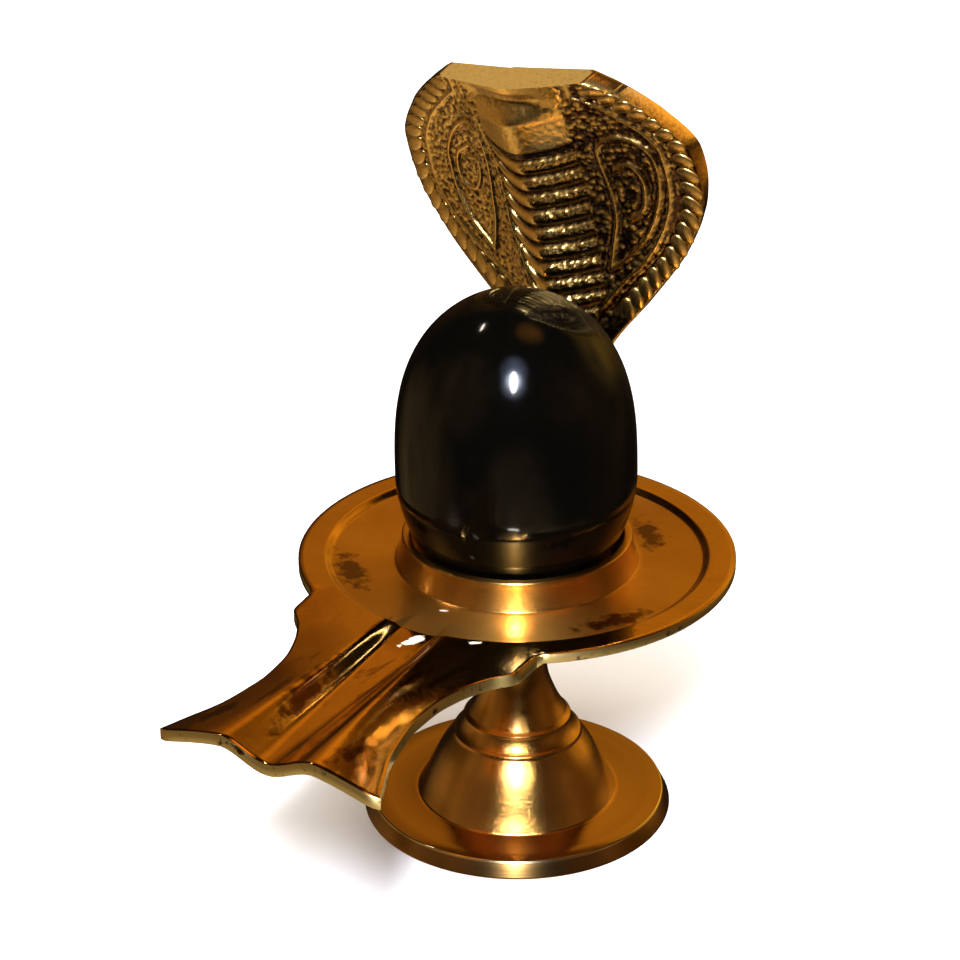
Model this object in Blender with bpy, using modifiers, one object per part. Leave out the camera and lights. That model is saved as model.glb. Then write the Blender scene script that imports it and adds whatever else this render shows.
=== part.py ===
"""Brass and stone shiva lingam for a household shrine.

A turned brass foot carries a cast brass yoni plate with its spout. A polished
black stone stands in the collar of the plate, and a cast cobra hood rises
behind it. The spout points along -Y, and the foot stands on Z = 0.
"""
import math

import bmesh
import bpy
from mathutils import Matrix, Vector

# Fits, in metres
GAP = 0.0003

# Plate, with its rim, dish and collar
PLATE_RADIUS = 0.0425
RIM_TOP = 0.0558
RIM_THICKNESS = 0.0020
RIM_LAND = 0.0050
STEP_RUN = 0.0016
DISH_DEPTH = 0.0014
DISH_WALL = 0.0020
COLLAR_TOP_RADIUS = 0.0224
COLLAR_BASE_RADIUS = 0.0236
COLLAR_BORE_RADIUS = 0.0206
COLLAR_RISE = 0.0042
COLLAR_EDGE = 0.0002

# Spout, from the middle of the plate to its end
SPOUT_REACH = 0.0850
SPOUT_ROOT_ANGLE = math.radians(35.9)
SPOUT_THICKNESS = 0.0025
SPOUT_CORNER = 0.0246
SPOUT_CORNER_REACH = 0.0403
SPOUT_WAIST = 0.0162
SPOUT_WAIST_REACH = 0.0620
SPOUT_END_WIDTH = 0.0234
SPOUT_RIDGE_PLACE = 0.0086
SPOUT_EDGE_DROP = 0.0050
SPOUT_RIDGE_DROP = 0.0018
SPOUT_TROUGH_DROP = 0.0048

# Foot
FOOT_RADIUS = 0.0307
FOOT_TOP_RADIUS = 0.0293
FOOT_THICKNESS = 0.0032
FOOT_RIM_WIDTH = 0.0040
FOOT_WALL = 0.0018
BELL_RADIUS = 0.0199
BELL_HEIGHT = 0.0164
BELL_TOP_RADIUS = 0.0125
BAND_HEIGHT = 0.0198
BAND_RADIUS = 0.0104
BAND_STEP = 0.0003
BELL_WALL = 0.0026
CAVITY_HEIGHT = 0.0190
NECK_RADIUS = 0.0052
NECK_HEIGHT = 0.0400
FOOT_HEAD_RADIUS = 0.0095
FOOT_HEAD_THICKNESS = 0.0018

# Stone
STONE_RADIUS = 0.0233
STONE_WAIST_RISE = 0.0168
STONE_TOP_RISE = 0.0539
STONE_BASE_RADIUS = 0.0165
STONE_BASE_RISE = 0.0016
STONE_LEAN = math.radians(0.8)

# Cobra hood
HOOD_PLACE = 0.0300
HOOD_LENGTH = 0.0913
HOOD_THICKNESS = 0.0039
HOOD_EDGE_SLANT = 0.0012
HOOD_SIDE_TILT = math.radians(6.3)
HOOD_LEAN_FOOT = math.radians(18.2)
HOOD_LEAN_MIDDLE = math.radians(7.9)
HOOD_LEAN_TOP = math.radians(26.9)
HOOD_SWEEP = 0.19
HOOD_NECK_HALF = 0.0046
HOOD_NECK_DEPTH = 0.0048
HOOD_TOP_HALF = 0.0166
HOOD_SIDE_SHIFT = 0.0010
HOOD_WIDEST_HALF = 0.0326
THROAT_HALF = 0.0122
THROAT_RISE = 0.0027
RIB_PITCH = 0.00373
RIB_RISE = 0.0007
RIB_COUNT = 19
TOP_RIB = 0.07405
ROPE_WIDTH = 0.0036
ROPE_RISE = 0.0008
LOOP_RISE = 0.0006
LOOP_LINE = 0.0012
LOOP_FOOT = 0.0488
LOOP_OUTER = 0.0236
LOOP_INNER = 0.0136
EYE_RISE = 0.0008
EYE_TOP = 0.0735
EYE_FOOT = 0.0610

DISH_FLOOR = RIM_TOP - DISH_DEPTH
PLATE_BOTTOM = DISH_FLOOR - DISH_WALL
STEP_OUTER = PLATE_RADIUS - RIM_LAND
STEP_INNER = STEP_OUTER - STEP_RUN
COLLAR_TOP = RIM_TOP + COLLAR_RISE
LOOP_TOP = TOP_RIB + 0.5 * RIB_PITCH


def smoothstep(value):
    """Ease from 0 to 1 as the value goes from 0 to 1."""
    value = min(max(value, 0.0), 1.0)
    return value * value * (3.0 - 2.0 * value)


def curve_through(points, place):
    """Height at a place on a smooth curve through points that does not overshoot."""
    steps = [(b[0] - a[0], b[1] - a[1]) for a, b in zip(points, points[1:])]
    rates = [rise / run for run, rise in steps]
    slopes = [rates[0]]
    for before, after in zip(rates, rates[1:]):
        product = before * after
        slopes.append(2.0 * product / (before + after) if product > 0.0 else 0.0)
    slopes.append(rates[-1])
    place = min(max(place, points[0][0]), points[-1][0])
    k = 0
    while k < len(steps) - 1 and place > points[k + 1][0]:
        k += 1
    run = steps[k][0]
    t = (place - points[k][0]) / run
    start = points[k][1] * (1.0 + 2.0 * t) * (1.0 - t) ** 2 + slopes[k] * run * t * (1.0 - t) ** 2
    end = points[k + 1][1] * t * t * (3.0 - 2.0 * t) + slopes[k + 1] * run * t * t * (t - 1.0)
    return start + end


def brass(name, colour, roughness):
    """Cast or turned brass."""
    material = bpy.data.materials.new(name)
    material.use_nodes = True
    shader = material.node_tree.nodes["Principled BSDF"]
    shader.inputs["Base Color"].default_value = (*colour, 1.0)
    shader.inputs["Metallic"].default_value = 1.0
    shader.inputs["Roughness"].default_value = roughness
    material.diffuse_color = (*colour, 1.0)
    return material


def black_stone():
    """Polished black stone."""
    material = bpy.data.materials.new("polished_black_stone")
    material.use_nodes = True
    shader = material.node_tree.nodes["Principled BSDF"]
    shader.inputs["Base Color"].default_value = (0.006, 0.005, 0.005, 1.0)
    shader.inputs["Roughness"].default_value = 0.08
    material.diffuse_color = (0.02, 0.02, 0.02, 1.0)
    return material


def add_part(name, mesh, material, collection, root):
    """Put a finished mesh in the scene as one part under the root."""
    item = bpy.data.objects.new(name, mesh)
    item.data.materials.append(material)
    item.parent = root
    collection.objects.link(item)
    return item


def add_strip(shape, before, after, closed):
    """Join two rows of points with faces, all the way round if they are closed."""
    count = len(before)
    for j in range(count if closed else count - 1):
        k = (j + 1) % count
        corners = [before[j], before[k], after[k], after[j]]
        shape.faces.new([shape.verts.new(corner) for corner in corners])


def add_fan(shape, loop, pole):
    """Close a loop of points with faces that meet in one point."""
    count = len(loop)
    for j in range(count):
        corners = [pole, loop[j], loop[(j + 1) % count]]
        shape.faces.new([shape.verts.new(corner) for corner in corners])


def finished_mesh(name, shape):
    """Merge the points that meet, turn the faces outward and make the mesh."""
    bmesh.ops.remove_doubles(shape, verts=shape.verts, dist=1e-6)
    bmesh.ops.dissolve_degenerate(shape, edges=shape.edges, dist=1e-6)
    bmesh.ops.triangulate(shape, faces=shape.faces)
    bmesh.ops.recalc_face_normals(shape, faces=shape.faces)
    mesh = bpy.data.meshes.new(name)
    shape.to_mesh(mesh)
    shape.free()
    return mesh


def turn(name, profile, segments, material, collection, root):
    """Turn a profile that runs from the top down its outer side about the Z axis."""
    mesh = bpy.data.meshes.new(name)
    edges = [(k, k + 1) for k in range(len(profile) - 1)]
    mesh.from_pydata([(radius, 0.0, height) for radius, height in profile], edges, [])
    item = add_part(name, mesh, material, collection, root)
    screw = item.modifiers.new("turned", "SCREW")
    screw.steps = segments
    screw.render_steps = segments
    screw.use_merge_vertices = True
    screw.merge_threshold = 0.00001
    screw.use_smooth_shade = True
    return item


def spout_half_width(reach):
    """Half width of the spout at a distance from the middle of the plate."""
    root_width = PLATE_RADIUS * math.sin(SPOUT_ROOT_ANGLE)
    root_reach = PLATE_RADIUS * math.cos(SPOUT_ROOT_ANGLE)
    past_corner = SPOUT_WAIST_REACH - SPOUT_CORNER_REACH
    past_waist = SPOUT_REACH - SPOUT_WAIST_REACH
    corner_fall = SPOUT_CORNER - SPOUT_WAIST
    flare = SPOUT_END_WIDTH - SPOUT_WAIST
    points = [
        (root_reach, root_width),
        (0.4 * root_reach + 0.6 * SPOUT_CORNER_REACH, 0.5 * (root_width + SPOUT_CORNER)),
        (SPOUT_CORNER_REACH, SPOUT_CORNER),
        (SPOUT_CORNER_REACH + 0.20 * past_corner, SPOUT_CORNER - 0.42 * corner_fall),
        (SPOUT_CORNER_REACH + 0.45 * past_corner, SPOUT_CORNER - 0.78 * corner_fall),
        (SPOUT_WAIST_REACH, SPOUT_WAIST),
        (SPOUT_WAIST_REACH + 0.45 * past_waist, SPOUT_WAIST + 0.27 * flare),
        (SPOUT_WAIST_REACH + 0.80 * past_waist, SPOUT_WAIST + 0.76 * flare),
        (SPOUT_REACH, SPOUT_END_WIDTH),
    ]
    return curve_through(points, reach)


def ridge_place(reach, radius):
    """Distance of each ridge of the spout from its middle line."""
    return SPOUT_RIDGE_PLACE * min(radius / PLATE_RADIUS, 1.0)


def spout_level(side, reach):
    """Height of the spout's face above the rim: two ridges, a trough and falling wings."""
    radius = math.hypot(side, reach)
    along = (reach - STEP_INNER * math.cos(SPOUT_ROOT_ANGLE)) / SPOUT_REACH * 1.5
    along = min(max(along, 0.0), 1.0)
    edge = -SPOUT_EDGE_DROP * along
    ridge = -SPOUT_RIDGE_DROP * along
    trough = -DISH_DEPTH - (SPOUT_TROUGH_DROP - DISH_DEPTH) * along
    ridge_side = ridge_place(reach, radius)
    floor_side = 0.70 * ridge_side * (1.0 - along)
    side = abs(side)
    if side < ridge_side:
        rise = smoothstep((side - floor_side) / (ridge_side - floor_side))
        return trough + (ridge - trough) * rise
    wing = (side - ridge_side) / max(spout_half_width(reach) - ridge_side, ridge_side)
    return ridge + (edge - ridge) * min(wing, 1.0) ** 1.3


def spout_side(share, half_width):
    """Side place of a column, so that a share of one half follows the ridge."""
    if abs(share) <= 0.5:
        side = SPOUT_RIDGE_PLACE * abs(share) / 0.5
    else:
        side = SPOUT_RIDGE_PLACE + (half_width - SPOUT_RIDGE_PLACE) * (abs(share) - 0.5) / 0.5
    return math.copysign(side, share)


def plate_mesh():
    """The cast plate: its dish, collar and socket, its rim and its spout in one skin."""
    half = [0.12, 0.25, 0.36, 0.5, 0.62, 0.76, 0.9, 1.0]
    shares = [-share for share in reversed(half)] + [0.0] + half
    root_width = PLATE_RADIUS * math.sin(SPOUT_ROOT_ANGLE)
    root_reach = PLATE_RADIUS * math.cos(SPOUT_ROOT_ANGLE)
    angles = [math.asin(spout_side(share, root_width) / PLATE_RADIUS) for share in shares]
    rest_count = 36
    sweep = 2.0 * (math.pi - SPOUT_ROOT_ANGLE) / rest_count
    angles += [SPOUT_ROOT_ANGLE + sweep * k for k in range(1, rest_count)]

    def ring(radius, level, follow_spout=True, under=0.0):
        loop = []
        for column, angle in enumerate(angles):
            side, reach = radius * math.sin(angle), radius * math.cos(angle)
            height = level
            if follow_spout and column < len(shares):
                height = min(level, spout_level(side, reach) - under)
            loop.append(Vector((side, -reach, RIM_TOP + height)))
        return loop

    def spout_row(share_out, under):
        row = []
        for share, angle in zip(shares, angles):
            side = PLATE_RADIUS * math.sin(angle)
            reach = PLATE_RADIUS * math.cos(angle)
            if share_out > 0.0:
                outline_reach = root_reach + (SPOUT_REACH - root_reach) * share_out
                side = spout_side(share, spout_half_width(outline_reach))
                reach += (SPOUT_REACH - reach) * share_out
            level = min(0.0, spout_level(side, reach)) - under
            row.append(Vector((side, -reach, RIM_TOP + level)))
        return row

    def outline(rim, rows):
        left = [row[0] for row in rows[1:-1]]
        right = [row[-1] for row in reversed(rows[1:-1])]
        return left + rows[-1] + right + rim[len(shares) - 1:] + rim[:1]

    upper = [
        ring(0.6 * COLLAR_BORE_RADIUS, -DISH_DEPTH, False),
        ring(COLLAR_BORE_RADIUS, -DISH_DEPTH, False),
        ring(COLLAR_BORE_RADIUS, COLLAR_RISE - COLLAR_EDGE, False),
        ring(COLLAR_BORE_RADIUS + COLLAR_EDGE, COLLAR_RISE, False),
        ring(COLLAR_TOP_RADIUS - COLLAR_EDGE, COLLAR_RISE, False),
        ring(COLLAR_TOP_RADIUS, COLLAR_RISE - COLLAR_EDGE, False),
        ring(COLLAR_BASE_RADIUS, -DISH_DEPTH, False),
        ring(0.5 * (COLLAR_BASE_RADIUS + STEP_INNER), -DISH_DEPTH),
        ring(STEP_INNER, -DISH_DEPTH),
        ring(STEP_OUTER, 0.0),
        ring(0.5 * (STEP_OUTER + PLATE_RADIUS), 0.0),
        ring(PLATE_RADIUS, 0.0),
    ]
    lower = [
        ring(COLLAR_BASE_RADIUS, PLATE_BOTTOM - RIM_TOP, False),
        ring(STEP_OUTER, PLATE_BOTTOM - RIM_TOP, True, SPOUT_THICKNESS),
        ring(STEP_OUTER + STEP_RUN, -RIM_THICKNESS, True, SPOUT_THICKNESS),
        ring(PLATE_RADIUS, -RIM_THICKNESS, True, SPOUT_THICKNESS),
    ]
    shares_out = [0.0, 0.05, 0.1, 0.125, 0.16, 0.21, 0.27, 0.34, 0.42, 0.51, 0.61, 0.73, 0.86, 1.0]
    upper_rows = [spout_row(share_out, 0.0) for share_out in shares_out]
    lower_rows = [spout_row(share_out, SPOUT_THICKNESS) for share_out in shares_out]
    shape = bmesh.new()
    for rings, middle in ((upper, DISH_FLOOR), (lower, PLATE_BOTTOM)):
        add_fan(shape, rings[0], (0.0, 0.0, middle))
        for before, after in zip(rings, rings[1:]):
            add_strip(shape, before, after, True)
    for rows in (upper_rows, lower_rows):
        for before, after in zip(rows, rows[1:]):
            add_strip(shape, before, after, False)
    add_strip(shape, outline(upper[-1], upper_rows), outline(lower[-1], lower_rows), True)
    return finished_mesh("yoni_plate", shape)


def foot_profile():
    """Outline of the foot from its head down its outer side and up inside the bell."""
    head_top = PLATE_BOTTOM - GAP
    head_bottom = head_top - FOOT_HEAD_THICKNESS
    waisting = [(0.0, 1.0), (0.21, 0.54), (0.505, 0.154), (1.0, 0.0)]
    neck = [
        (BAND_HEIGHT + (NECK_HEIGHT - BAND_HEIGHT) * up, NECK_RADIUS + (BAND_RADIUS - NECK_RADIUS) * out)
        for up, out in waisting
    ]
    neck.append((0.37 * NECK_HEIGHT + 0.63 * head_bottom, 0.81 * NECK_RADIUS + 0.19 * FOOT_HEAD_RADIUS))
    neck.append((head_bottom, FOOT_HEAD_RADIUS))
    bulging = [(0.0, 1.0), (0.212, 0.797), (0.439, 0.608), (0.705, 0.365), (1.0, 0.0)]
    bell = [
        (FOOT_THICKNESS + (BELL_HEIGHT - FOOT_THICKNESS) * up, BELL_TOP_RADIUS + (BELL_RADIUS - BELL_TOP_RADIUS) * out)
        for up, out in bulging
    ]
    profile = [(0.0, head_top), (FOOT_HEAD_RADIUS, head_top)]
    neck_steps = 8
    for k in range(neck_steps + 1):
        height = neck[-1][0] + (BAND_HEIGHT - neck[-1][0]) * k / neck_steps
        profile.append((curve_through(neck, height), height))
    profile.append((BAND_RADIUS + BAND_STEP, BAND_HEIGHT - BAND_STEP))
    profile.append((BELL_TOP_RADIUS - BAND_STEP, BELL_HEIGHT + BAND_STEP))
    bell_steps = 5
    for k in range(bell_steps + 1):
        height = BELL_HEIGHT + (FOOT_THICKNESS - BELL_HEIGHT) * k / bell_steps
        profile.append((curve_through(bell, height), height))
    profile += [
        (FOOT_TOP_RADIUS, FOOT_THICKNESS),
        (FOOT_RADIUS, 0.0),
        (FOOT_RADIUS - FOOT_RIM_WIDTH, 0.0),
        (FOOT_RADIUS - FOOT_RIM_WIDTH, FOOT_THICKNESS - FOOT_WALL),
    ]
    cavity_steps = 4
    for k in range(cavity_steps + 1):
        height = FOOT_THICKNESS - FOOT_WALL + (BELL_HEIGHT - FOOT_THICKNESS) * k / cavity_steps
        profile.append((curve_through(bell, height + FOOT_WALL) - BELL_WALL, height))
    profile.append((0.0, CAVITY_HEIGHT))
    return profile


def stone_profile():
    """Outline of the stone from its top down to the seat in the collar."""
    waist = RIM_TOP + STONE_WAIST_RISE
    top = RIM_TOP + STONE_TOP_RISE
    seat_radius = COLLAR_BORE_RADIUS - 2.0 * GAP
    profile = []
    dome_steps = 9
    for k in range(dome_steps + 1):
        angle = 0.5 * math.pi * (1.0 - k / dome_steps)
        radius = STONE_RADIUS * max(math.cos(angle), 0.0) ** 1.09
        height = waist + (top - waist) * math.sin(angle) ** 0.67
        profile.append((radius if k else 0.0, height))
    side_steps = 4
    for k in range(1, side_steps + 1):
        share = k / side_steps
        radius = STONE_RADIUS - (STONE_RADIUS - seat_radius) * share ** 1.76
        profile.append((radius, waist + (COLLAR_TOP - waist) * share))
    bottom = DISH_FLOOR + 2.0 * GAP
    profile.append((0.3 * STONE_BASE_RADIUS + 0.7 * seat_radius, bottom + STONE_BASE_RISE))
    profile.append((STONE_BASE_RADIUS, bottom))
    profile.append((0.0, bottom))
    return profile


def hood_half_width(height, side):
    """Width of the cobra's neck and hood on one side, at a distance along its back."""
    length = HOOD_LENGTH
    points = [
        (0.0, HOOD_NECK_HALF),
        (0.295 * length, 1.17 * HOOD_NECK_HALF),
        (0.373 * length, 0.29 * HOOD_WIDEST_HALF),
        (0.491 * length, 0.59 * HOOD_WIDEST_HALF),
        (0.609 * length, 0.85 * HOOD_WIDEST_HALF),
        (0.707 * length, 0.98 * HOOD_WIDEST_HALF),
        (0.765 * length, HOOD_WIDEST_HALF),
        (0.815 * length, 0.99 * HOOD_WIDEST_HALF),
        (0.905 * length, 0.83 * HOOD_WIDEST_HALF),
        (0.96 * length, 0.665 * HOOD_WIDEST_HALF),
        (length, HOOD_TOP_HALF),
    ]
    shift = HOOD_SIDE_SHIFT * smoothstep((height / length - 0.4) / 0.3)
    return curve_through(points, height) + side * shift


def hood_line(steps):
    """Places along the cobra's front, with the lean that changes from foot to top."""
    leans = [(0.0, HOOD_LEAN_FOOT), (0.5, HOOD_LEAN_MIDDLE), (1.0, HOOD_LEAN_TOP)]
    run = HOOD_LENGTH / steps
    place, height = HOOD_PLACE, RIM_TOP
    line = []
    for k in range(steps + 1):
        lean = curve_through(leans, k / steps)
        line.append((place, height, lean))
        place -= math.sin(lean) * run
        height += math.cos(lean) * run
    return line


def hood_rows():
    """Distances along the hood where it has a loop, each with how far its rib stands out."""
    rows = [(-3.0 * DISH_DEPTH, 0.0)]
    for k in range(RIB_COUNT, -1, -1):
        crest = TOP_RIB - RIB_PITCH * k
        rows.append((crest - 0.5 * RIB_PITCH, 0.0))
        if crest > 0.45 * HOOD_LENGTH:
            rows += [(crest - 0.22 * RIB_PITCH, 1.0), (crest + 0.22 * RIB_PITCH, 1.0)]
        else:
            rows.append((crest, 1.0))
    last_groove = TOP_RIB + 0.5 * RIB_PITCH
    for share in (0.0, 0.16, 0.34, 0.52, 0.67, 0.79, 0.91, 1.0):
        rows.append((last_groove + (HOOD_LENGTH - last_groove) * share, 0.0))
    return rows


def loop_lines(height, throat, limit):
    """Places of the inner and the outer side of the teardrop on a wing."""
    length = HOOD_LENGTH
    outer = [
        (0.38 * length, 0.58 * LOOP_OUTER),
        (LOOP_FOOT, 0.62 * LOOP_OUTER),
        (0.565 * length, 0.73 * LOOP_OUTER),
        (0.624 * length, 0.88 * LOOP_OUTER),
        (0.691 * length, 0.975 * LOOP_OUTER),
        (0.765 * length, LOOP_OUTER),
        (0.80 * length, 0.94 * LOOP_OUTER),
        (LOOP_TOP, 0.80 * LOOP_OUTER),
        (length, 0.60 * LOOP_OUTER),
    ]
    inner_place = min(LOOP_INNER, throat + 0.30 * (limit - throat))
    outer_place = min(curve_through(outer, height), limit - 0.25 * (limit - throat))
    return inner_place, max(outer_place, inner_place + 0.15 * (limit - throat))


def hood_section(height, rib):
    """One loop round the hood at a height, as places across and back from its front line."""
    neck = smoothstep((0.42 * HOOD_LENGTH - height) / (0.12 * HOOD_LENGTH))
    scoop = smoothstep((height - 0.92 * HOOD_LENGTH) / (0.05 * HOOD_LENGTH))
    rise = THROAT_RISE * (1.0 - 0.6 * neck)
    thickness = HOOD_THICKNESS * (1.0 - 0.75 * neck)
    extra = (HOOD_NECK_DEPTH - rise - thickness) * neck
    slope = HOOD_SWEEP * (1.0 - neck)
    lean_in = slope / math.sqrt(1.0 + slope * slope)
    lean_back = 1.0 / math.sqrt(1.0 + slope * slope)
    in_loop = 1.0 if LOOP_FOOT < height < LOOP_TOP + 0.5 * RIB_PITCH else 0.0
    in_arch = 1.0 if abs(height - LOOP_TOP) < 0.2 * RIB_PITCH else 0.0
    in_eye = math.sin(math.pi * min(max((height - EYE_FOOT) / (EYE_TOP - EYE_FOOT), 0.0), 1.0))
    grooved = 1.0 if height < TOP_RIB + 0.6 * RIB_PITCH else 0.0
    groove = RIB_RISE * (rib - 1.0) * grooved

    def swept(side, half):
        soften = 0.12 * half
        return HOOD_SWEEP * (math.sqrt(side * side + soften * soften) - soften)

    def half_section(hand):
        half = hood_half_width(height, hand)
        slanted = smoothstep((height / HOOD_LENGTH - 0.66) / 0.16) if hand > 0.0 else 0.0
        edge = half - HOOD_EDGE_SLANT * slanted
        rope = min(ROPE_WIDTH, 0.3 * half)
        limit = edge - rope
        throat = min(THROAT_HALF, 0.7 * limit)
        inner, outer = loop_lines(height, throat, limit)
        line = min(0.5 * LOOP_LINE, 0.07 * (limit - throat))
        middle = 0.5 * (inner + outer)
        rope_stand = ROPE_RISE * (0.5 + 0.5 * rib) * (1.0 - neck)
        places = [
            (0.0, groove),
            (0.33 * throat, groove),
            (0.70 * throat, groove),
            (throat, -0.5 * RIB_RISE),
            (inner, LOOP_RISE * in_loop),
            (inner + line, LOOP_RISE * in_arch),
            (middle, max(EYE_RISE * in_eye, LOOP_RISE * in_arch)),
            (outer - line, LOOP_RISE * in_arch),
            (outer, LOOP_RISE * in_loop),
            (outer + line, 0.0),
            (limit, 0.0),
            (edge - 0.5 * rope, rope_stand),
            (edge, 0.0),
        ]
        front = []
        for side, stand in places:
            bulge = rise * max(0.0, 1.0 - side / throat) ** 1.4 * (1.0 - scoop)
            front.append((hand * side, swept(side, half) + rise - bulge - stand))
        back = []
        for share in (1.0, 0.75, 0.45, 0.15):
            side = half * share
            flat = (swept(half, half) - swept(side, half)) * 0.8 * (1.0 - neck)
            round_off = extra * (1.0 - share ** 2.5)
            depth = swept(side, half) + rise + lean_back * thickness + round_off + flat
            back.append((hand * (side - lean_in * thickness * share * (1.0 - slanted)), depth))
        return front, back

    right, back_right = half_section(1.0)
    left, back_left = half_section(-1.0)
    return left[:0:-1] + right + back_right + back_left[::-1]


def hood_mesh():
    """The cast cobra hood, from the flat foot of its neck to its flat cut top."""
    steps = 240
    line = hood_line(steps)
    stand = Matrix.Translation((0.0, HOOD_PLACE, RIM_TOP))
    tilt = stand @ Matrix.Rotation(-HOOD_SIDE_TILT, 4, "Y") @ stand.inverted()
    loops = []
    for height, rib in hood_rows():
        clamped = min(max(height / HOOD_LENGTH, 0.0), 1.0)
        place, level, lean = line[round(clamped * steps)]
        past = height - round(clamped * steps) * HOOD_LENGTH / steps
        place -= math.sin(lean) * past
        level += math.cos(lean) * past
        loop = []
        for side, back in hood_section(max(height, 0.0), rib):
            point = Vector((side, place + back * math.cos(lean), level + back * math.sin(lean)))
            loop.append(tilt @ point)
        loops.append(loop)
    shape = bmesh.new()
    for before, after in zip(loops, loops[1:]):
        add_strip(shape, before, after, True)
    bmesh.ops.remove_doubles(shape, verts=shape.verts, dist=1e-6)
    floor = Vector((0.0, 0.0, DISH_FLOOR + GAP))
    everything = shape.verts[:] + shape.edges[:] + shape.faces[:]
    bmesh.ops.bisect_plane(shape, geom=everything, plane_co=floor, plane_no=(0.0, 0.0, -1.0), clear_outer=True)
    bmesh.ops.holes_fill(shape, edges=[edge for edge in shape.edges if edge.is_boundary])
    return finished_mesh("cobra_hood", shape)


def smooth_but_sharp_edges(item, angle):
    """Shade a part smooth, and keep its edges that are sharper than an angle."""
    item.data.shade_smooth()
    item.data.set_sharp_from_angle(angle=math.radians(angle))


for leftover in list(bpy.data.objects):
    bpy.data.objects.remove(leftover, do_unlink=True)

parts = bpy.data.collections.new("shiva_lingam")
bpy.context.scene.collection.children.link(parts)

# The root keeps the middle of the whole length, spout to rim, over the origin
root = bpy.data.objects.new("shiva_lingam_root", None)
root.location = (0.0, 0.5 * (SPOUT_REACH - PLATE_RADIUS), 0.0)
parts.objects.link(root)

polished_brass = brass("polished_brass", (0.60, 0.33, 0.07), 0.16)
turned_brass = brass("turned_brass", (0.62, 0.35, 0.09), 0.22)
cast_brass = brass("cast_brass", (0.45, 0.26, 0.06), 0.35)

foot = turn("foot", foot_profile(), 40, turned_brass, parts, root)

plate = add_part("yoni_plate", plate_mesh(), polished_brass, parts, root)
smooth_but_sharp_edges(plate, 35.0)

stone = turn("lingam", stone_profile(), 32, black_stone(), parts, root)
lean_about = Vector((0.0, 0.0, COLLAR_TOP))
lean_side = Vector((math.cos(math.radians(31.0)), math.sin(math.radians(31.0)), 0.0))
lean_axis = Vector((-lean_side.y, lean_side.x, 0.0))
stone.matrix_local = (
    Matrix.Translation(lean_about)
    @ Matrix.Rotation(-STONE_LEAN, 4, lean_axis)
    @ Matrix.Translation(-lean_about)
)

hood = add_part("cobra_hood", hood_mesh(), cast_brass, parts, root)
smooth_but_sharp_edges(hood, 50.0)
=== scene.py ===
"""Looks of a brass and stone shiva lingam: foot, dish with spout, stone and cobra hood."""
import math

import bmesh
import bpy
import numpy as np
from mathutils import Matrix, Vector, noise


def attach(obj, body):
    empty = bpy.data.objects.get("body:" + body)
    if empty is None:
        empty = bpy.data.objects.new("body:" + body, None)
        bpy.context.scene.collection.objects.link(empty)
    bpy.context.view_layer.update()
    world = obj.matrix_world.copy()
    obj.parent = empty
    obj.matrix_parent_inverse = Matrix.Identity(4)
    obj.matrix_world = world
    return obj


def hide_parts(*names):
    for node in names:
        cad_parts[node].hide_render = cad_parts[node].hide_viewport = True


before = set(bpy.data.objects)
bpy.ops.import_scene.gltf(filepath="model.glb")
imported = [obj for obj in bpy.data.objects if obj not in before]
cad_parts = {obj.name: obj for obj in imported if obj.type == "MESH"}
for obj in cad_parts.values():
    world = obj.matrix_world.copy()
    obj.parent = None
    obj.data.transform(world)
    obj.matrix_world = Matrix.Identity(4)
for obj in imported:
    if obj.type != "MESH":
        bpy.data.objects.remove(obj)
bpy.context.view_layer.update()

# Studio
# A white floor, one tall softbox above the camera, one small high lamp, a wide one overhead
# that only lights the floor, and a dim room of soft patches of light for the brass to mirror.
AXIS_PLACE = 0.02125
VIEW_TURN = math.radians(31.0)
VIEW_RISE = math.radians(25.4)
VIEW_DISTANCE = 0.5882
VIEW_HEIGHT = 0.0709


def linear(hex_colour):
    """An sRGB hex colour as linear red, green, blue and alpha."""
    parts = [int(hex_colour[k:k + 2], 16) / 255.0 for k in (1, 3, 5)]
    return tuple(p / 12.92 if p < 0.04045 else ((p + 0.055) / 1.055) ** 2.4 for p in parts) + (1.0,)


def set_up(tree, node, values=None, links=None):
    """Give a node its values and its links, where a node as a source gives its first output."""
    for key, value in (values or {}).items():
        node.inputs[key].default_value = value
    for key, source in (links or {}).items():
        if isinstance(source, bpy.types.Node):
            source = source.outputs[0]
        tree.links.new(source, node.inputs[key])
    return node


def add_node(tree, kind, settings=None, values=None, links=None):
    """Add a node with its settings, its values and its links."""
    node = tree.nodes.new(kind)
    for key, value in (settings or {}).items():
        setattr(node, key, value)
    return set_up(tree, node, values, links)


def new_material(name):
    """A material with its node tree and its shader."""
    material = bpy.data.materials.new(name)
    material.use_nodes = True
    return material, material.node_tree, material.node_tree.nodes["Principled BSDF"]


def mesh_piece(name, points, faces, material):
    """A smooth shaded mesh object from points and faces."""
    mesh = bpy.data.meshes.new(name)
    mesh.from_pydata([tuple(point) for point in points], [], [tuple(face) for face in faces])
    mesh.validate()
    mesh.shade_smooth()
    mesh.materials.append(material)
    item = bpy.data.objects.new(name, mesh)
    bpy.context.collection.objects.link(item)
    return item


def round_the_axis(turn, rise, distance, height):
    """A place seen from the camera's side of the foot's axis, turned and raised."""
    turn = VIEW_TURN + turn
    flat = distance * math.cos(rise)
    x, y = flat * math.sin(turn), AXIS_PLACE - flat * math.cos(turn)
    return Vector((x, y, height + distance * math.sin(rise)))


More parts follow.
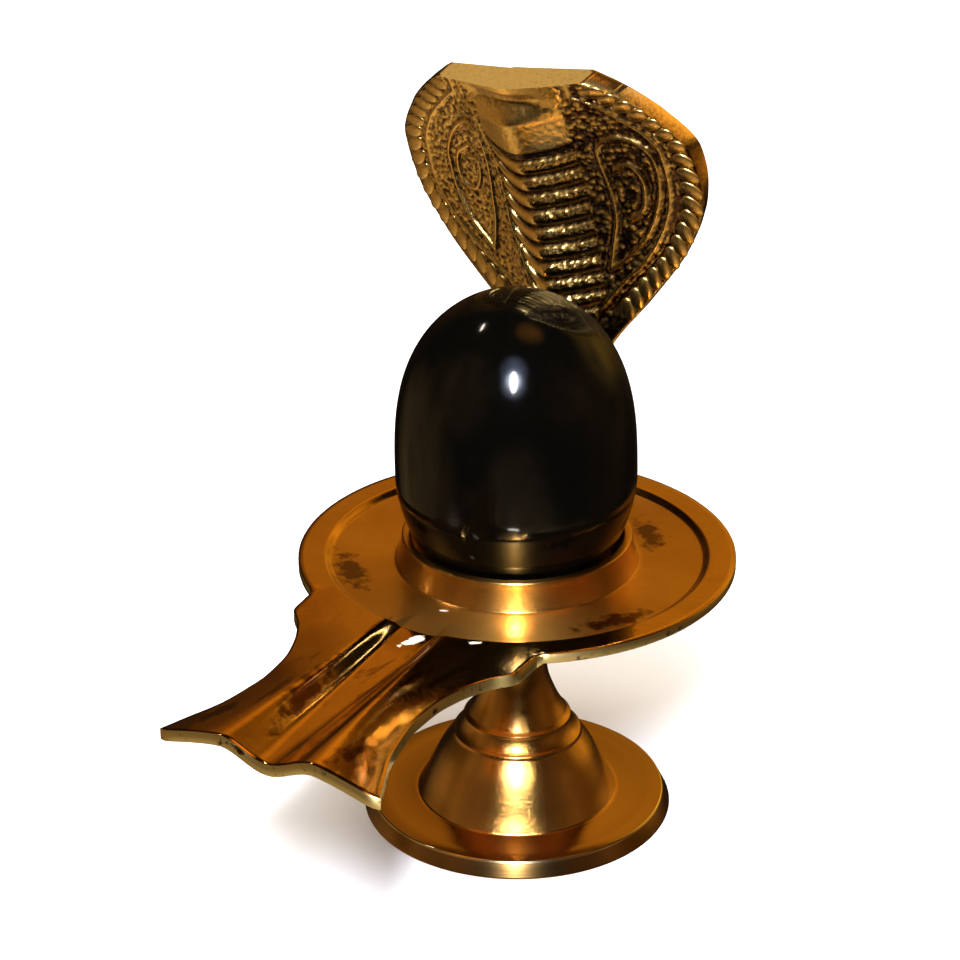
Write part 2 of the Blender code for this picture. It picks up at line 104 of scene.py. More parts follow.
camera = bpy.data.objects.new("camera", bpy.data.cameras.new("camera"))
bpy.context.collection.objects.link(camera)
aim = Vector((0.0, AXIS_PLACE, VIEW_HEIGHT))
camera.location = round_the_axis(0.0, VIEW_RISE, VIEW_DISTANCE, VIEW_HEIGHT)
camera.rotation_euler = (aim - camera.location).to_track_quat("-Z", "Y").to_euler()
camera.data.sensor_width = 36.0
camera.data.lens = 114.75
camera.data.shift_x = -0.03875
camera.data.clip_start = 0.02
bpy.context.scene.camera = camera

FLOOR_REACH = 4.0
floor_paint, tree, shader = new_material("matt_white_board")
set_up(tree, shader, {"Base Color": linear("#f7f6f3"), "Roughness": 0.9})
floor_corners = [(x * FLOOR_REACH, y * FLOOR_REACH, 0.0) for x, y in ((-1, -1), (1, -1), (1, 1), (-1, 1))]
floor = mesh_piece("floor", floor_corners, [(0, 1, 2, 3)], floor_paint)

floor.visible_glossy = False
bpy.context.scene.view_settings.view_transform = "Standard"

world = bpy.data.worlds.new("room")
bpy.context.scene.world = world
world.use_nodes = True
room = world.node_tree
direction = add_node(room, "ShaderNodeTexCoord").outputs["Generated"]
# Each patch of the room: turn and rise from the camera's side in degrees, where its edge
# starts and ends as a cosine, and its colour
patches = [
    (180, 22, 0.80, 1.00, (0.085, 0.033, 0.003)),
    (186, 38, 0.91, 1.00, (0.22, 0.10, 0.010)),
    (150, 24, 0.80, 0.99, (0.56, 0.28, 0.02)),
    (122, 20, 0.90, 0.99, (0.30, 0.17, 0.03)),
    (0, -78, 0.50, 0.97, (0.85, 0.62, 0.32)),
    (0, -33, 0.80, 0.99, (0.26, 0.17, 0.09)),
    (-100, -25, 0.70, 0.97, (0.26, 0.16, 0.06)),
    (100, 5, 0.70, 0.97, (0.06, 0.03, 0.01)),
    (-60, 26, 0.80, 0.98, (0.18, 0.11, 0.05)),
    (55, 24, 0.88, 0.99, (0.09, 0.05, 0.02)),
    (90, 14, 0.90, 1.00, (0.07, 0.035, 0.006)),
    (-90, 14, 0.90, 1.00, (0.07, 0.035, 0.006)),
    (105, 77, 0.965, 1.0140, (1.60, 0.62, 0.06)),
    (-2, 53, 0.960, 1.0200, (3.20, 3.90, 5.90)),
    (-2, 41, 0.966, 1.0140, (4.20, 4.80, 6.60)),
    (-2, 44, 0.986, 1.0040, (18.0, 20.0, 24.0)),
]
light_of_room = add_node(room, "ShaderNodeCombineXYZ", values={0: 0.012, 1: 0.008, 2: 0.005})
for turn, rise, edge_start, edge_end, colour in patches:
    turn = VIEW_TURN + math.radians(turn)
    rise = math.radians(rise)
    toward = (math.cos(rise) * math.sin(turn), -math.cos(rise) * math.cos(turn), math.sin(rise))
    facing = add_node(
        room, "ShaderNodeVectorMath", {"operation": "DOT_PRODUCT"}, {1: toward}, {0: direction},
    )
    patch = add_node(
        room, "ShaderNodeMapRange", {"interpolation_type": "SMOOTHSTEP"},
        {"From Min": edge_start, "From Max": edge_end}, {"Value": facing.outputs["Value"]},
    )
    light_of_room = add_node(
        room, "ShaderNodeVectorMath", {"operation": "MULTIPLY_ADD"}, {1: colour},
        {0: patch, 2: light_of_room},
    )
uneven = add_node(
    room, "ShaderNodeTexNoise", values={"Scale": 3.5, "Detail": 2.0}, links={"Vector": direction},
)
strength = add_node(
    room, "ShaderNodeMapRange", values={"From Min": 0.3, "From Max": 0.7, "To Min": 0.55, "To Max": 1.5},
    links={"Value": uneven},
)
set_up(room, room.nodes["Background"], links={"Color": light_of_room, "Strength": strength})


def softbox(name, turn, rise, distance, width, tall, radiance, colour):
    """A soft oval lamp that faces the piece, given how bright its face is."""
    lamp = bpy.data.lights.new(name, "AREA")
    lamp.shape = "ELLIPSE"
    lamp.size = width
    lamp.size_y = tall
    lamp.energy = radiance * math.pi * math.pi * width * tall / 4.0
    lamp.color = linear(colour)[:3]
    item = bpy.data.objects.new(name, lamp)
    item.location = round_the_axis(math.radians(turn), math.radians(rise), distance, 0.08)
    item.rotation_euler = (aim - item.location).to_track_quat("-Z", "Y").to_euler()
    bpy.context.collection.objects.link(item)
    return item


softbox("tall_softbox", -2.0, 43.0, 1.6, 0.17, 0.50, 210.0, "#eef2ff")
softbox("small_high_lamp", -122.0, 59.0, 1.5, 0.20, 0.045, 60.0, "#fff4e2")
floor_lamp = softbox("floor_lamp", 0.0, 90.0, 2.4, 3.2, 3.2, 3.6, "#fffdf8")
floor_lamp.visible_glossy = False


# Foot
# A brass casting turned on a lathe: a flange with a bevelled side, a bell with two small
# rings above it and a waisted neck. The lathe leaves fine rings, the casting fine pits.
FOOT_RADIUS = 0.0307
FOOT_TOP_RADIUS = 0.0293
FOOT_THICKNESS = 0.0032
BELL_HEIGHT = 0.0164
BAND_HEIGHT = 0.0198
HEAD_TOP = 0.0521
LATHE_RING = 0.00045
CAST_PIT = 0.00028
TONE_CLOUD = 0.011
COLOURS = {"data_type": "RGBA"}


def smoothstep(value):
    """Ease from 0 to 1 as the value goes from 0 to 1."""
    value = np.clip(value, 0.0, 1.0)
    return value * value * (3.0 - 2.0 * value)


def curve_through(points, places):
    """Heights on a smooth curve through points that does not overshoot."""
    xs, ys = np.array(points).T
    run = np.diff(xs)
    rate = np.diff(ys) / run
    product = rate[:-1] * rate[1:]
    total = rate[:-1] + rate[1:]
    middle = np.where(product > 0.0, 2.0 * product / np.where(total == 0.0, 1.0, total), 0.0)
    slope = np.concatenate([rate[:1], middle, rate[-1:]])
    places = np.clip(places, xs[0], xs[-1])
    k = np.clip(np.searchsorted(xs, places) - 1, 0, len(run) - 1)
    t = (places - xs[k]) / run[k]
    start = ys[k] * (1.0 + 2.0 * t) * (1.0 - t) ** 2 + slope[k] * run[k] * t * (1.0 - t) ** 2
    end = ys[k + 1] * t * t * (3.0 - 2.0 * t) + slope[k + 1] * run[k] * t * t * (t - 1.0)
    return start + end


def grid_faces(rows, columns):
    """Faces between closed rows of points."""
    r = np.arange(rows - 1)[:, None] * columns
    c = np.arange(columns)[None, :]
    d = (c + 1) % columns
    return np.stack([r + c, r + d, r + columns + d, r + columns + c], -1).reshape(-1, 4)


def turned(name, profile, segments, material):
    """A profile from its top pole down its outer side to its bottom pole, turned about Z."""
    profile = np.array(profile)
    inner = profile[1:-1]
    angle = np.linspace(0.0, 2.0 * math.pi, segments, endpoint=False)
    ring = np.stack([np.sin(angle), -np.cos(angle)], -1)
    heights = np.repeat(inner[:, None, 1:], segments, 1)
    points = np.concatenate([inner[:, None, :1] * ring[None], heights], -1).reshape(-1, 3)
    faces = grid_faces(len(inner), segments)[:, ::-1].tolist()
    top, bottom = len(points), len(points) + 1
    last = (len(inner) - 1) * segments
    for k in range(segments):
        faces.append((top, k, (k + 1) % segments))
        faces.append((bottom, last + (k + 1) % segments, last + k))
    points = np.concatenate([points, [[0.0, 0.0, profile[0][1]], [0.0, 0.0, profile[-1][1]]]])
    points[:, 1] += AXIS_PLACE
    return mesh_piece(name, points, faces, material)


neck_line = [
    (BAND_HEIGHT, 0.0104), (0.0240, 0.0080), (0.0300, 0.0060),
    (0.0400, 0.0052), (0.0465, 0.0060), (0.0503, 0.0095),
]
bell_line = [
    (FOOT_THICKNESS, 0.0199), (0.0060, 0.0184), (0.0090, 0.0170), (0.0125, 0.0152),
    (BELL_HEIGHT, 0.0125),
]
neck_heights = np.linspace(0.0503, BAND_HEIGHT + 0.0004, 40)
bell_heights = np.linspace(BELL_HEIGHT - 0.0003, FOOT_THICKNESS, 36)
hollow_heights = np.linspace(0.0014, 0.0146, 16)
foot_profile = [(0.0, HEAD_TOP), (0.0093, HEAD_TOP), (0.0095, HEAD_TOP - 0.0002)]
foot_profile += list(zip(curve_through(neck_line, neck_heights), neck_heights))
foot_profile += [
    (0.01055, BAND_HEIGHT + 0.00025), (0.01072, BAND_HEIGHT), (0.01062, BAND_HEIGHT - 0.0003),
    (0.01070, BAND_HEIGHT - 0.0006), (0.01140, BELL_HEIGHT + 0.0014), (0.01215, BELL_HEIGHT + 0.0005),
    (0.01240, BELL_HEIGHT + 0.0003), (0.01268, BELL_HEIGHT + 0.00015), (0.01275, BELL_HEIGHT - 0.0001),
]
foot_profile += list(zip(curve_through(bell_line, bell_heights), bell_heights))
foot_profile += [
    (0.0200, FOOT_THICKNESS - 0.00002), (FOOT_TOP_RADIUS - 0.0035, FOOT_THICKNESS),
    (FOOT_TOP_RADIUS - 0.0003, FOOT_THICKNESS), (FOOT_TOP_RADIUS - 0.0001, FOOT_THICKNESS - 0.00005),
    (FOOT_TOP_RADIUS, FOOT_THICKNESS - 0.0002), (FOOT_RADIUS - 0.0001, 0.0004), (FOOT_RADIUS, 0.0002),
    (FOOT_RADIUS - 0.0001, 0.0), (FOOT_RADIUS - 0.0038, 0.0), (FOOT_RADIUS - 0.0040, 0.0002),
    (FOOT_RADIUS - 0.0040, 0.0012), (FOOT_RADIUS - 0.0042, 0.0014),
]
foot_profile += list(zip(curve_through(bell_line, hollow_heights + 0.0018) - 0.0026, hollow_heights))
foot_profile.append((0.0, 0.0190))


def about_the_axis(tree, shader):
    """Place, centred coordinates and distance from the axis, with the shader's grain set round it."""
    place = add_node(tree, "ShaderNodeTexCoord").outputs["Object"]
    centred = add_node(
        tree, "ShaderNodeMapping", values={"Location": (0.0, -AXIS_PLACE, 0.0)}, links={"Vector": place},
    )
    split = add_node(tree, "ShaderNodeSeparateXYZ", links={0: centred})
    level = add_node(tree, "ShaderNodeCombineXYZ", links={0: split, 1: split.outputs[1]})
    radius = add_node(tree, "ShaderNodeVectorMath", {"operation": "LENGTH"}, links={0: level})
    along_groove = add_node(
        tree, "ShaderNodeVectorMath", {"operation": "CROSS_PRODUCT"}, {0: (0.0, 0.0, 1.0)}, {1: level},
    )
    groove_way = add_node(tree, "ShaderNodeVectorMath", {"operation": "NORMALIZE"}, links={0: along_groove})
    set_up(tree, shader, {"Anisotropic Rotation": 0.25}, {"Tangent": groove_way})
    return place, split, radius.outputs["Value"]


def mottled(tree, place, size, texture, mask_range):
    """Clouds of a real size in metres, and the mask that a range of their strength gives."""
    clouds = add_node(
        tree, "ShaderNodeTexNoise", values={"Scale": 1.0 / size, **texture}, links={"Vector": place},
    )
    return clouds, add_node(tree, "ShaderNodeMapRange", values=mask_range, links={"Value": clouds})


# Turned brass: orange gold, with fine lathe rings, drawn about half a millimetre wide so that
# they show, and smaller pits from the casting
turned_brass, tree, shader = new_material("turned_brass")
place, split, radius = about_the_axis(tree, shader)
cut = add_node(tree, "ShaderNodeCombineXYZ", links={0: radius, 1: split.outputs[2]})
rings = add_node(
    tree, "ShaderNodeTexNoise", values={"Scale": 1.0 / LATHE_RING, "Detail": 2.0}, links={"Vector": cut},
)
on_flange = add_node(
    tree, "ShaderNodeMath", {"operation": "COMPARE"}, {1: FOOT_THICKNESS, 2: 0.0002}, {0: split.outputs[2]},
)
off_bell = add_node(
    tree, "ShaderNodeMapRange", values={"From Min": 0.0200, "From Max": 0.0206}, links={"Value": radius},
)
_, pit_depth = mottled(
    tree, place, CAST_PIT, {"Detail": 3.0, "Roughness": 0.6}, {"From Min": 0.36, "From Max": 0.50},
)
pit_mask = add_node(tree, "ShaderNodeMath", {"operation": "MAXIMUM"}, links={0: pit_depth, 1: off_bell})
_, cloud_mask = mottled(tree, place, TONE_CLOUD, {"Detail": 5.0}, {"From Min": 0.35, "From Max": 0.65})
tone = add_node(
    tree, "ShaderNodeMix", COLOURS, {6: linear("#e2ad5a"), 7: linear("#d39a45")}, {0: cloud_mask},
)
rubbed = add_node(
    tree, "ShaderNodeMath", {"operation": "COMPARE"}, {1: FOOT_TOP_RADIUS - 0.0001, 2: 0.0002}, {0: radius},
)
for share, colour in ((off_bell, "#ab8145"), (rubbed, "#f6dfa6")):
    tone = add_node(tree, "ShaderNodeMix", COLOURS, {7: linear(colour)}, {0: share, 6: tone.outputs[2]})
on_bell = add_node(
    tree, "ShaderNodeMapRange", values={"To Min": 0.25, "To Max": 0.19}, links={"Value": on_flange},
)
gloss = add_node(tree, "ShaderNodeMath", {"operation": "MULTIPLY_ADD"}, {1: -0.08}, {0: rings, 2: on_bell})
ring_bump = add_node(
    tree, "ShaderNodeBump", values={"Strength": 0.22, "Distance": 0.00006}, links={"Height": rings},
)
pit_bump = add_node(
    tree, "ShaderNodeBump", values={"Strength": 0.20, "Distance": 0.00006},
    links={"Height": pit_mask, "Normal": ring_bump},
)
set_up(
    tree, shader, {"Metallic": 1.0, "Anisotropic": 0.75, "Coat Weight": 0.60, "Coat Roughness": 0.17},
    {"Base Color": tone.outputs[2], "Roughness": gloss, "Normal": pit_bump},
)

foot = turned("foot_turned", foot_profile, 160, turned_brass)
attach(foot, "root")
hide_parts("foot")


# Yoni plate
# One brass casting: a flat rim, a mirror polished floor one step down, a round collar for
# the stone, and a spout whose two ridges run out from the floor. Its edges are only filed.
PLATE_RADIUS = 0.0425
RIM_TOP = 0.0558
RIM_THICKNESS = 0.0020
STEP_OUTER = 0.0375
STEP_INNER = 0.0359
DISH_DEPTH = 0.0014
DISH_WALL = 0.0020
FLOOR_SLOPE = 0.035
BROWN_SPOTS = [
    (0.0172, 0.0430, 0.0058, 0.0024, -50.0), (-0.0240, -0.0010, 0.0072, 0.0024, -42.0),
    (0.0295, 0.0075, 0.0070, 0.0022, 60.0), (-0.0055, -0.0430, 0.0100, 0.0020, 96.0),
    (-0.0160, -0.0560, 0.0060, 0.0014, 70.0), (0.0135, -0.0560, 0.0060, 0.0018, 80.0),
]
WHITE_SPOTS = [
    (0.0011, -0.0172, 0.0027, 0.0010, 58.0), (0.0127, -0.0146, 0.0012, 0.0006, 40.0),
    (-0.0002, -0.0053, 0.0007, 0.0003, 20.0),
]
CREASE_SHADE = [(0.0071, -0.0413, 0.0185, 0.00055, 91.2), (-0.0067, -0.0190, 0.0056, 0.00060, 90.3)]
COLLAR_RISE = 0.0042
COLLAR_BORE = 0.0206
COLLAR_TOP = 0.0224
COLLAR_BASE = 0.0236
SPOUT_START = 0.0304
SPOUT_REACH = 0.0850
SPOUT_THICKNESS = 0.0025
RIDGE_SIDE = 0.0085
CORNER_START = 0.0205
CORNER_WIDTH = 0.0029
CORNER_WEAR = 0.0009
ROOT_ANGLE = math.radians(35.9)
EDGE_ROUND = 0.00022
WAVE = 0.014
STAIN = 0.0067
RAGGED = 0.0024
SCRATCH = 0.00077

outline_line = [
    (0.03443, 0.02492), (0.0379, 0.02475), (0.0403, 0.0246), (0.0446, 0.0211), (0.0501, 0.0181),
    (0.0560, 0.0165), (0.0620, 0.0162), (0.0675, 0.0170), (0.0723, 0.0181), (0.0804, 0.0216),
    (SPOUT_REACH, 0.0234),
]
ridge_line = [
    (0.030, 0.0066), (0.035, 0.0068), (0.050, 0.0071), (0.060, 0.0076), (0.072, 0.0087),
    (0.085, 0.0098),
]
trough_line = [(0.030, 0.0036), (0.044, 0.0034), (0.056, 0.0026), (0.068, 0.0016), (0.085, 0.0002)]


def spout_level(side, out):
    """Height of the spout's face above the rim: two ridges, a trough and falling wings."""
    along = np.clip((out - SPOUT_START) / (SPOUT_REACH - SPOUT_START), 0.0, 1.0)
    ridge_side = curve_through(ridge_line, out)
    trough_side = curve_through(trough_line, out)
    edge, ridge = -0.0050 * along, -0.0019 * along
    trough = -DISH_DEPTH - 0.0034 * along ** 0.9
    side = np.abs(side)
    rise = smoothstep((side - trough_side) / (ridge_side - trough_side))
    from_axis = np.hypot(side, out)
    lift = FLOOR_SLOPE * np.clip(from_axis - COLLAR_BASE, 0.0, STEP_INNER - COLLAR_BASE)
    lift = lift * (1.0 - smoothstep((from_axis - STEP_INNER) / 0.008))
    trough = trough + lift
    width = curve_through(outline_line, out)
    wing = np.clip((side - ridge_side) / np.maximum(width - ridge_side, ridge_side), 0.0, 1.0)
    inside, outside = trough + (ridge - trough) * rise, ridge + (edge - ridge) * wing ** 1.3
    return np.where(side < ridge_side, inside, outside)


half_shares = np.concatenate([np.linspace(0.0, 0.5, 20), np.linspace(0.5, 1.0, 16)[1:]])
shares = np.concatenate([-half_shares[:0:-1], half_shares])


def spout_side(share, half_width):
    """Side place of a column, so that a share of one half follows the ridge."""
    inside = RIDGE_SIDE * np.abs(share) / 0.5
    outside = RIDGE_SIDE + (half_width - RIDGE_SIDE) * (np.abs(share) - 0.5) / 0.5
    return np.copysign(np.where(np.abs(share) <= 0.5, inside, outside), share)


root_width = PLATE_RADIUS * math.sin(ROOT_ANGLE)
root_reach = PLATE_RADIUS * math.cos(ROOT_ANGLE)
sector = np.arcsin(spout_side(shares, root_width) / PLATE_RADIUS)
rest = np.linspace(ROOT_ANGLE, 2.0 * math.pi - ROOT_ANGLE, 181)[1:-1]
angles = np.concatenate([sector, rest])
plate_points = []
plate_faces = []
plate_filed = []
known_points = {}


def point_number(point, filed):
    """Number of a point of the plate, the same for points that meet."""
    key = tuple(round(value * 1e6) for value in point)
    if key not in known_points:
        known_points[key] = len(plate_points)
        plate_points.append(tuple(point))
        plate_filed.append(filed)
    return known_points[key]


def add_strip(before, after, closed, filed=0.0, filed_after=0.0):
    """Faces between two rows of the plate's points."""
    first = [point_number(point, filed) for point in before]
    second = [point_number(point, filed_after) for point in after]
    count = len(first)
    for j in range(count if closed else count - 1):
        k = (j + 1) % count
        corners = [first[j], first[k], second[k], second[j]]
        corners = [corner for n, corner in enumerate(corners) if corner != corners[n - 1]]
        if len(corners) > 2:
            plate_faces.append(corners)


def ring(radius, height, follow_spout=True, under=0.0):
    """A round row of points that dips where the spout runs through it."""
    side, out = radius * np.sin(angles), radius * np.cos(angles)
    heights = np.full(len(angles), height)
    if follow_spout:
        spout = spout_level(side[:len(shares)], out[:len(shares)]) - under
        heights[:len(shares)] = np.minimum(height, spout)
    return np.stack([side, AXIS_PLACE - out, RIM_TOP + heights], -1)


def spout_row(share_out, under, inset, drop=0.0):
    """A row of points across the spout, from the rim's arc to the straight end."""
    side = (PLATE_RADIUS - inset) * np.sin(sector)
    out = (PLATE_RADIUS - inset) * np.cos(sector)
    if share_out > 0.0:
        outline_out = root_reach + (SPOUT_REACH - inset - root_reach) * share_out
        side = spout_side(shares, curve_through(outline_line, outline_out) - inset)
        out = out + (SPOUT_REACH - inset - out) * share_out
    # The end's two corners are worn round
    corner = np.clip((np.abs(side) - CORNER_START) / CORNER_WIDTH, 0.0, 1.0) ** 2 * CORNER_WEAR
    out = out - corner * np.clip((share_out - 0.8) / 0.2, 0.0, 1.0)
    height = np.minimum(0.0, spout_level(side, out)) - under - drop
    return np.stack([side, AXIS_PLACE - out, RIM_TOP + height], -1)


def outline(rim, rows):
    """The plate's whole outline: up the spout's left, across its end, back and round the rim."""
    left = [row[0] for row in rows[1:-1]]
    right = [row[-1] for row in reversed(rows[1:-1])]
    return left + list(rows[-1]) + right + list(rim[len(shares) - 1:]) + [rim[0]]


def collar_profile():
    """Rings of the socket and the collar, with their small rounded edges."""
    rounded = 0.0004
    rings = [(0.0120, -DISH_DEPTH), (COLLAR_BORE, -DISH_DEPTH), (COLLAR_BORE, COLLAR_RISE - rounded)]
    low = COLLAR_RISE - rounded
    turns = 0.5 * math.pi * np.arange(5) / 4
    rings += [(COLLAR_BORE + rounded * (1 - math.cos(t)), low + rounded * math.sin(t)) for t in turns[1:]]
    rings += [(COLLAR_TOP - rounded * (1 - math.sin(t)), low + rounded * math.cos(t)) for t in turns]
    for k in range(1, 9):
        out = COLLAR_TOP + (COLLAR_BASE - COLLAR_TOP) * (k / 8) ** 1.5
        rings.append((out, low - (low + DISH_DEPTH - 0.0002) * k / 8))
    rings += [(COLLAR_BASE + 0.0001, -DISH_DEPTH + 0.00005), (COLLAR_BASE + 0.0003, -DISH_DEPTH)]
    return rings


upper = [ring(radius, height, False) for radius, height in collar_profile()]
for radius in np.linspace(COLLAR_BASE + 0.0012, STEP_INNER - 0.0003, 12):
    upper.append(ring(radius, -DISH_DEPTH + FLOOR_SLOPE * (radius - COLLAR_BASE)))
step_foot = -DISH_DEPTH + FLOOR_SLOPE * (STEP_INNER - COLLAR_BASE)
for share in (0.0, 0.12, 0.3, 0.5, 0.7, 0.88, 1.0):
    radius = STEP_INNER + (STEP_OUTER - STEP_INNER) * share
    upper.append(ring(radius, step_foot * (1.0 - smoothstep(share))))
for radius in np.linspace(STEP_OUTER + 0.0003, PLATE_RADIUS - EDGE_ROUND, 6):
    upper.append(ring(radius, 0.0))
floor_under = -DISH_DEPTH - DISH_WALL
lower = [ring(COLLAR_BASE, floor_under, False)]
for radius, height in (
    (0.030, floor_under), (STEP_OUTER, floor_under),
    (STEP_OUTER + 0.0016, -RIM_THICKNESS), (PLATE_RADIUS - EDGE_ROUND, -RIM_THICKNESS),
):
    lower.append(ring(radius, height, True, SPOUT_THICKNESS))
shares_out = np.concatenate([np.linspace(0.0, 0.2, 14), np.linspace(0.2, 1.0, 46)[1:]])
for rings, middle in ((upper, -DISH_DEPTH), (lower, floor_under)):
    pole = point_number((0.0, AXIS_PLACE, RIM_TOP + middle), 0.0)
    first = [point_number(point, 0.0) for point in rings[0]]
    plate_faces += [(pole, first[k], first[(k + 1) % len(first)]) for k in range(len(first))]
    for before, after in zip(rings, rings[1:]):
        add_strip(before, after, True)
upper_rows = [spout_row(share, 0.0, EDGE_ROUND) for share in shares_out]
lower_rows = [spout_row(share, SPOUT_THICKNESS, EDGE_ROUND) for share in shares_out]
for rows in (upper_rows, lower_rows):
    for before, after in zip(rows, rows[1:]):
        add_strip(before, after, False)
wall_top_rows = [spout_row(share, 0.0, 0.0, EDGE_ROUND) for share in shares_out]
wall_low_rows = [spout_row(share, SPOUT_THICKNESS, 0.0, -EDGE_ROUND) for share in shares_out]
wall_low = ring(PLATE_RADIUS, EDGE_ROUND - RIM_THICKNESS, True, SPOUT_THICKNESS - EDGE_ROUND)
edges = [
    outline(upper[-1], upper_rows),
    outline(ring(PLATE_RADIUS, -EDGE_ROUND, True, EDGE_ROUND), wall_top_rows),
    outline(wall_low, wall_low_rows),
    outline(lower[-1], lower_rows),
]
add_strip(edges[0], edges[1], True, 0.0, 1.0)
add_strip(edges[1], edges[2], True, 1.0, 1.0)
add_strip(edges[2], edges[3], True, 1.0)


# Polished brass: a mirror on rim and spout with red brown tarnish and painted shade along two of the
# spout's creases, turned on floor and collar, pale and nicked where its edge is filed, with a few specks of
# white polish left
polished_brass, tree, shader = new_material("polished_brass")
place, split, radius = about_the_axis(tree, shader)
cloud, cloud_mask = mottled(
    tree, place, WAVE, {"Detail": 6.0, "Roughness": 0.6}, {"From Min": 0.35, "From Max": 0.7},
)
tone = add_node(
    tree, "ShaderNodeMix", COLOURS, {6: linear("#dfa750"), 7: linear("#cf9440")}, {0: cloud_mask},
)
stretched = add_node(tree, "ShaderNodeMapping", values={"Scale": (1.0, 0.3, 1.0)}, links={"Vector": place})
_, stain_mask = mottled(
    tree, stretched, STAIN, {"Detail": 5.0, "Roughness": 0.55, "Distortion": 0.4},
    {"From Min": 0.560, "From Max": 0.610, "To Max": 0.70},
)
on_spout = add_node(
    tree, "ShaderNodeMapRange", values={"From Min": -0.036, "From Max": -0.046},
    links={"Value": split.outputs[1]},
)
dark_marks = add_node(tree, "ShaderNodeMath", {"operation": "MULTIPLY"}, links={0: stain_mask, 1: on_spout})
ragged, nick = mottled(
    tree, place, RAGGED, {"Detail": 4.0, "Roughness": 0.6}, {"From Min": 0.58, "From Max": 0.66},
)


def ragged_spots(spots, softness, mask=None, tear=3.4):
    """A mask with ragged spots, each given by its place, half length, half width and turn."""
    edge = 0.9 + 0.5 * tear
    for x, y, long_half, wide_half, turn in spots:
        values = {"Location": (x, y, 0.0), "Scale": (long_half, wide_half, 1.0)}
        values["Rotation"] = (0.0, 0.0, math.radians(turn))
        placed = add_node(tree, "ShaderNodeMapping", {"vector_type": "TEXTURE"}, values, {"Vector": place})
        flat = add_node(
            tree, "ShaderNodeVectorMath", {"operation": "MULTIPLY"}, {1: (1.0, 1.0, 0.0)}, {0: placed},
        )
        away = add_node(tree, "ShaderNodeVectorMath", {"operation": "LENGTH"}, links={0: flat})
        torn = add_node(
            tree, "ShaderNodeMath", {"operation": "MULTIPLY_ADD"}, {1: tear},
            {0: ragged, 2: away.outputs["Value"]},
        )
        spot = add_node(
            tree, "ShaderNodeMapRange", values={"From Min": edge + softness, "From Max": edge - softness},
            links={"Value": torn},
        )
        if mask is not None:
            spot = add_node(tree, "ShaderNodeMath", {"operation": "MAXIMUM"}, links={0: mask, 1: spot})
        mask = spot
    return mask


dark_marks = ragged_spots(BROWN_SPOTS, 0.35, dark_marks)
# Two long thin dark lines along the spout's creases, in the tarnish colour, are painted shade
dark_marks = ragged_spots(CREASE_SHADE, 0.45, dark_marks, 0.9)
tarnish_and_crease_shade = add_node(
    tree, "ShaderNodeMix", COLOURS, {7: linear("#6a3512")}, {0: dark_marks, 6: tone.outputs[2]},
)
filed = add_node(tree, "ShaderNodeAttribute", {"attribute_name": "filed"}).outputs["Fac"]
edge_tone = add_node(
    tree, "ShaderNodeMix", COLOURS, {6: linear("#d6be78"), 7: linear("#4a3518")}, {0: nick},
)
filed_tone = add_node(
    tree, "ShaderNodeMix", COLOURS, links={0: filed, 6: tarnish_and_crease_shade.outputs[2], 7: edge_tone.outputs[2]},
)
white_spots = ragged_spots(WHITE_SPOTS, 0.1)
marked = add_node(
    tree, "ShaderNodeMix", COLOURS, {7: linear("#cfc8b8")}, {0: white_spots, 6: filed_tone.outputs[2]},
)
bare_metal = add_node(tree, "ShaderNodeMath", {"operation": "SUBTRACT"}, {0: 1.0}, {1: white_spots})
collar_gloss = add_node(
    tree, "ShaderNodeMapRange",
    values={"From Min": COLLAR_BASE, "From Max": COLLAR_BASE + 0.0010, "To Min": 0.27, "To Max": 0.37},
    links={"Value": radius},
)
turned_gloss = add_node(
    tree, "ShaderNodeMapRange",
    values={"From Min": STEP_INNER, "From Max": STEP_INNER + 0.0003, "To Max": 0.11},
    links={"Value": radius, "To Min": collar_gloss},
)
filed_gloss = add_node(
    tree, "ShaderNodeMix", {"data_type": "FLOAT"}, {3: 0.46}, {0: filed, 2: turned_gloss},
)
scratch = add_node(
    tree, "ShaderNodeTexNoise", values={"Scale": 1.0 / SCRATCH, "Detail": 3.0}, links={"Vector": place},
)
scratch_bump = add_node(
    tree, "ShaderNodeBump", values={"Strength": 0.12, "Distance": 0.00005}, links={"Height": scratch},
)
wave_bump = add_node(
    tree, "ShaderNodeBump", values={"Strength": 0.25, "Distance": 0.0006},
    links={"Height": cloud, "Normal": scratch_bump},
)
set_up(
    tree, shader, {"Anisotropic": 0.8, "Coat Weight": 0.5, "Coat Roughness": 0.08},
    {
        "Base Color": marked.outputs[2], "Metallic": bare_metal,
        "Roughness": filed_gloss, "Normal": wave_bump,
    },
)


def add_layer(mesh, name, values, kind="FLOAT", key="value"):
    """Give each point of a mesh a named value."""
    layer = mesh.attributes.new(name, kind, "POINT")
    layer.data.foreach_set(key, np.ravel(values))


def face_outward(item):
    """Turn a closed mesh's faces outward."""
    shape = bmesh.new()
    shape.from_mesh(item.data)
    bmesh.ops.recalc_face_normals(shape, faces=shape.faces)
    shape.to_mesh(item.data)
    shape.free()


plate = mesh_piece("yoni_plate_cast", plate_points, plate_faces, polished_brass)
add_layer(plate.data, "filed", plate_filed)
face_outward(plate)
plate.data.set_sharp_from_angle(angle=math.radians(50.0))
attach(plate, "root")
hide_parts("yoni_plate")


# Lingam
# An egg topped cylinder of black stone, ground and polished, that stands in the collar
# and leans a degree.
STONE_RADIUS = 0.0233
STONE_WAIST = RIM_TOP + 0.0168
STONE_TOP = RIM_TOP + 0.0539
STONE_LEAN = math.radians(0.8)
COLLAR_LEVEL = RIM_TOP + COLLAR_RISE
STONE_GRAIN = 0.002

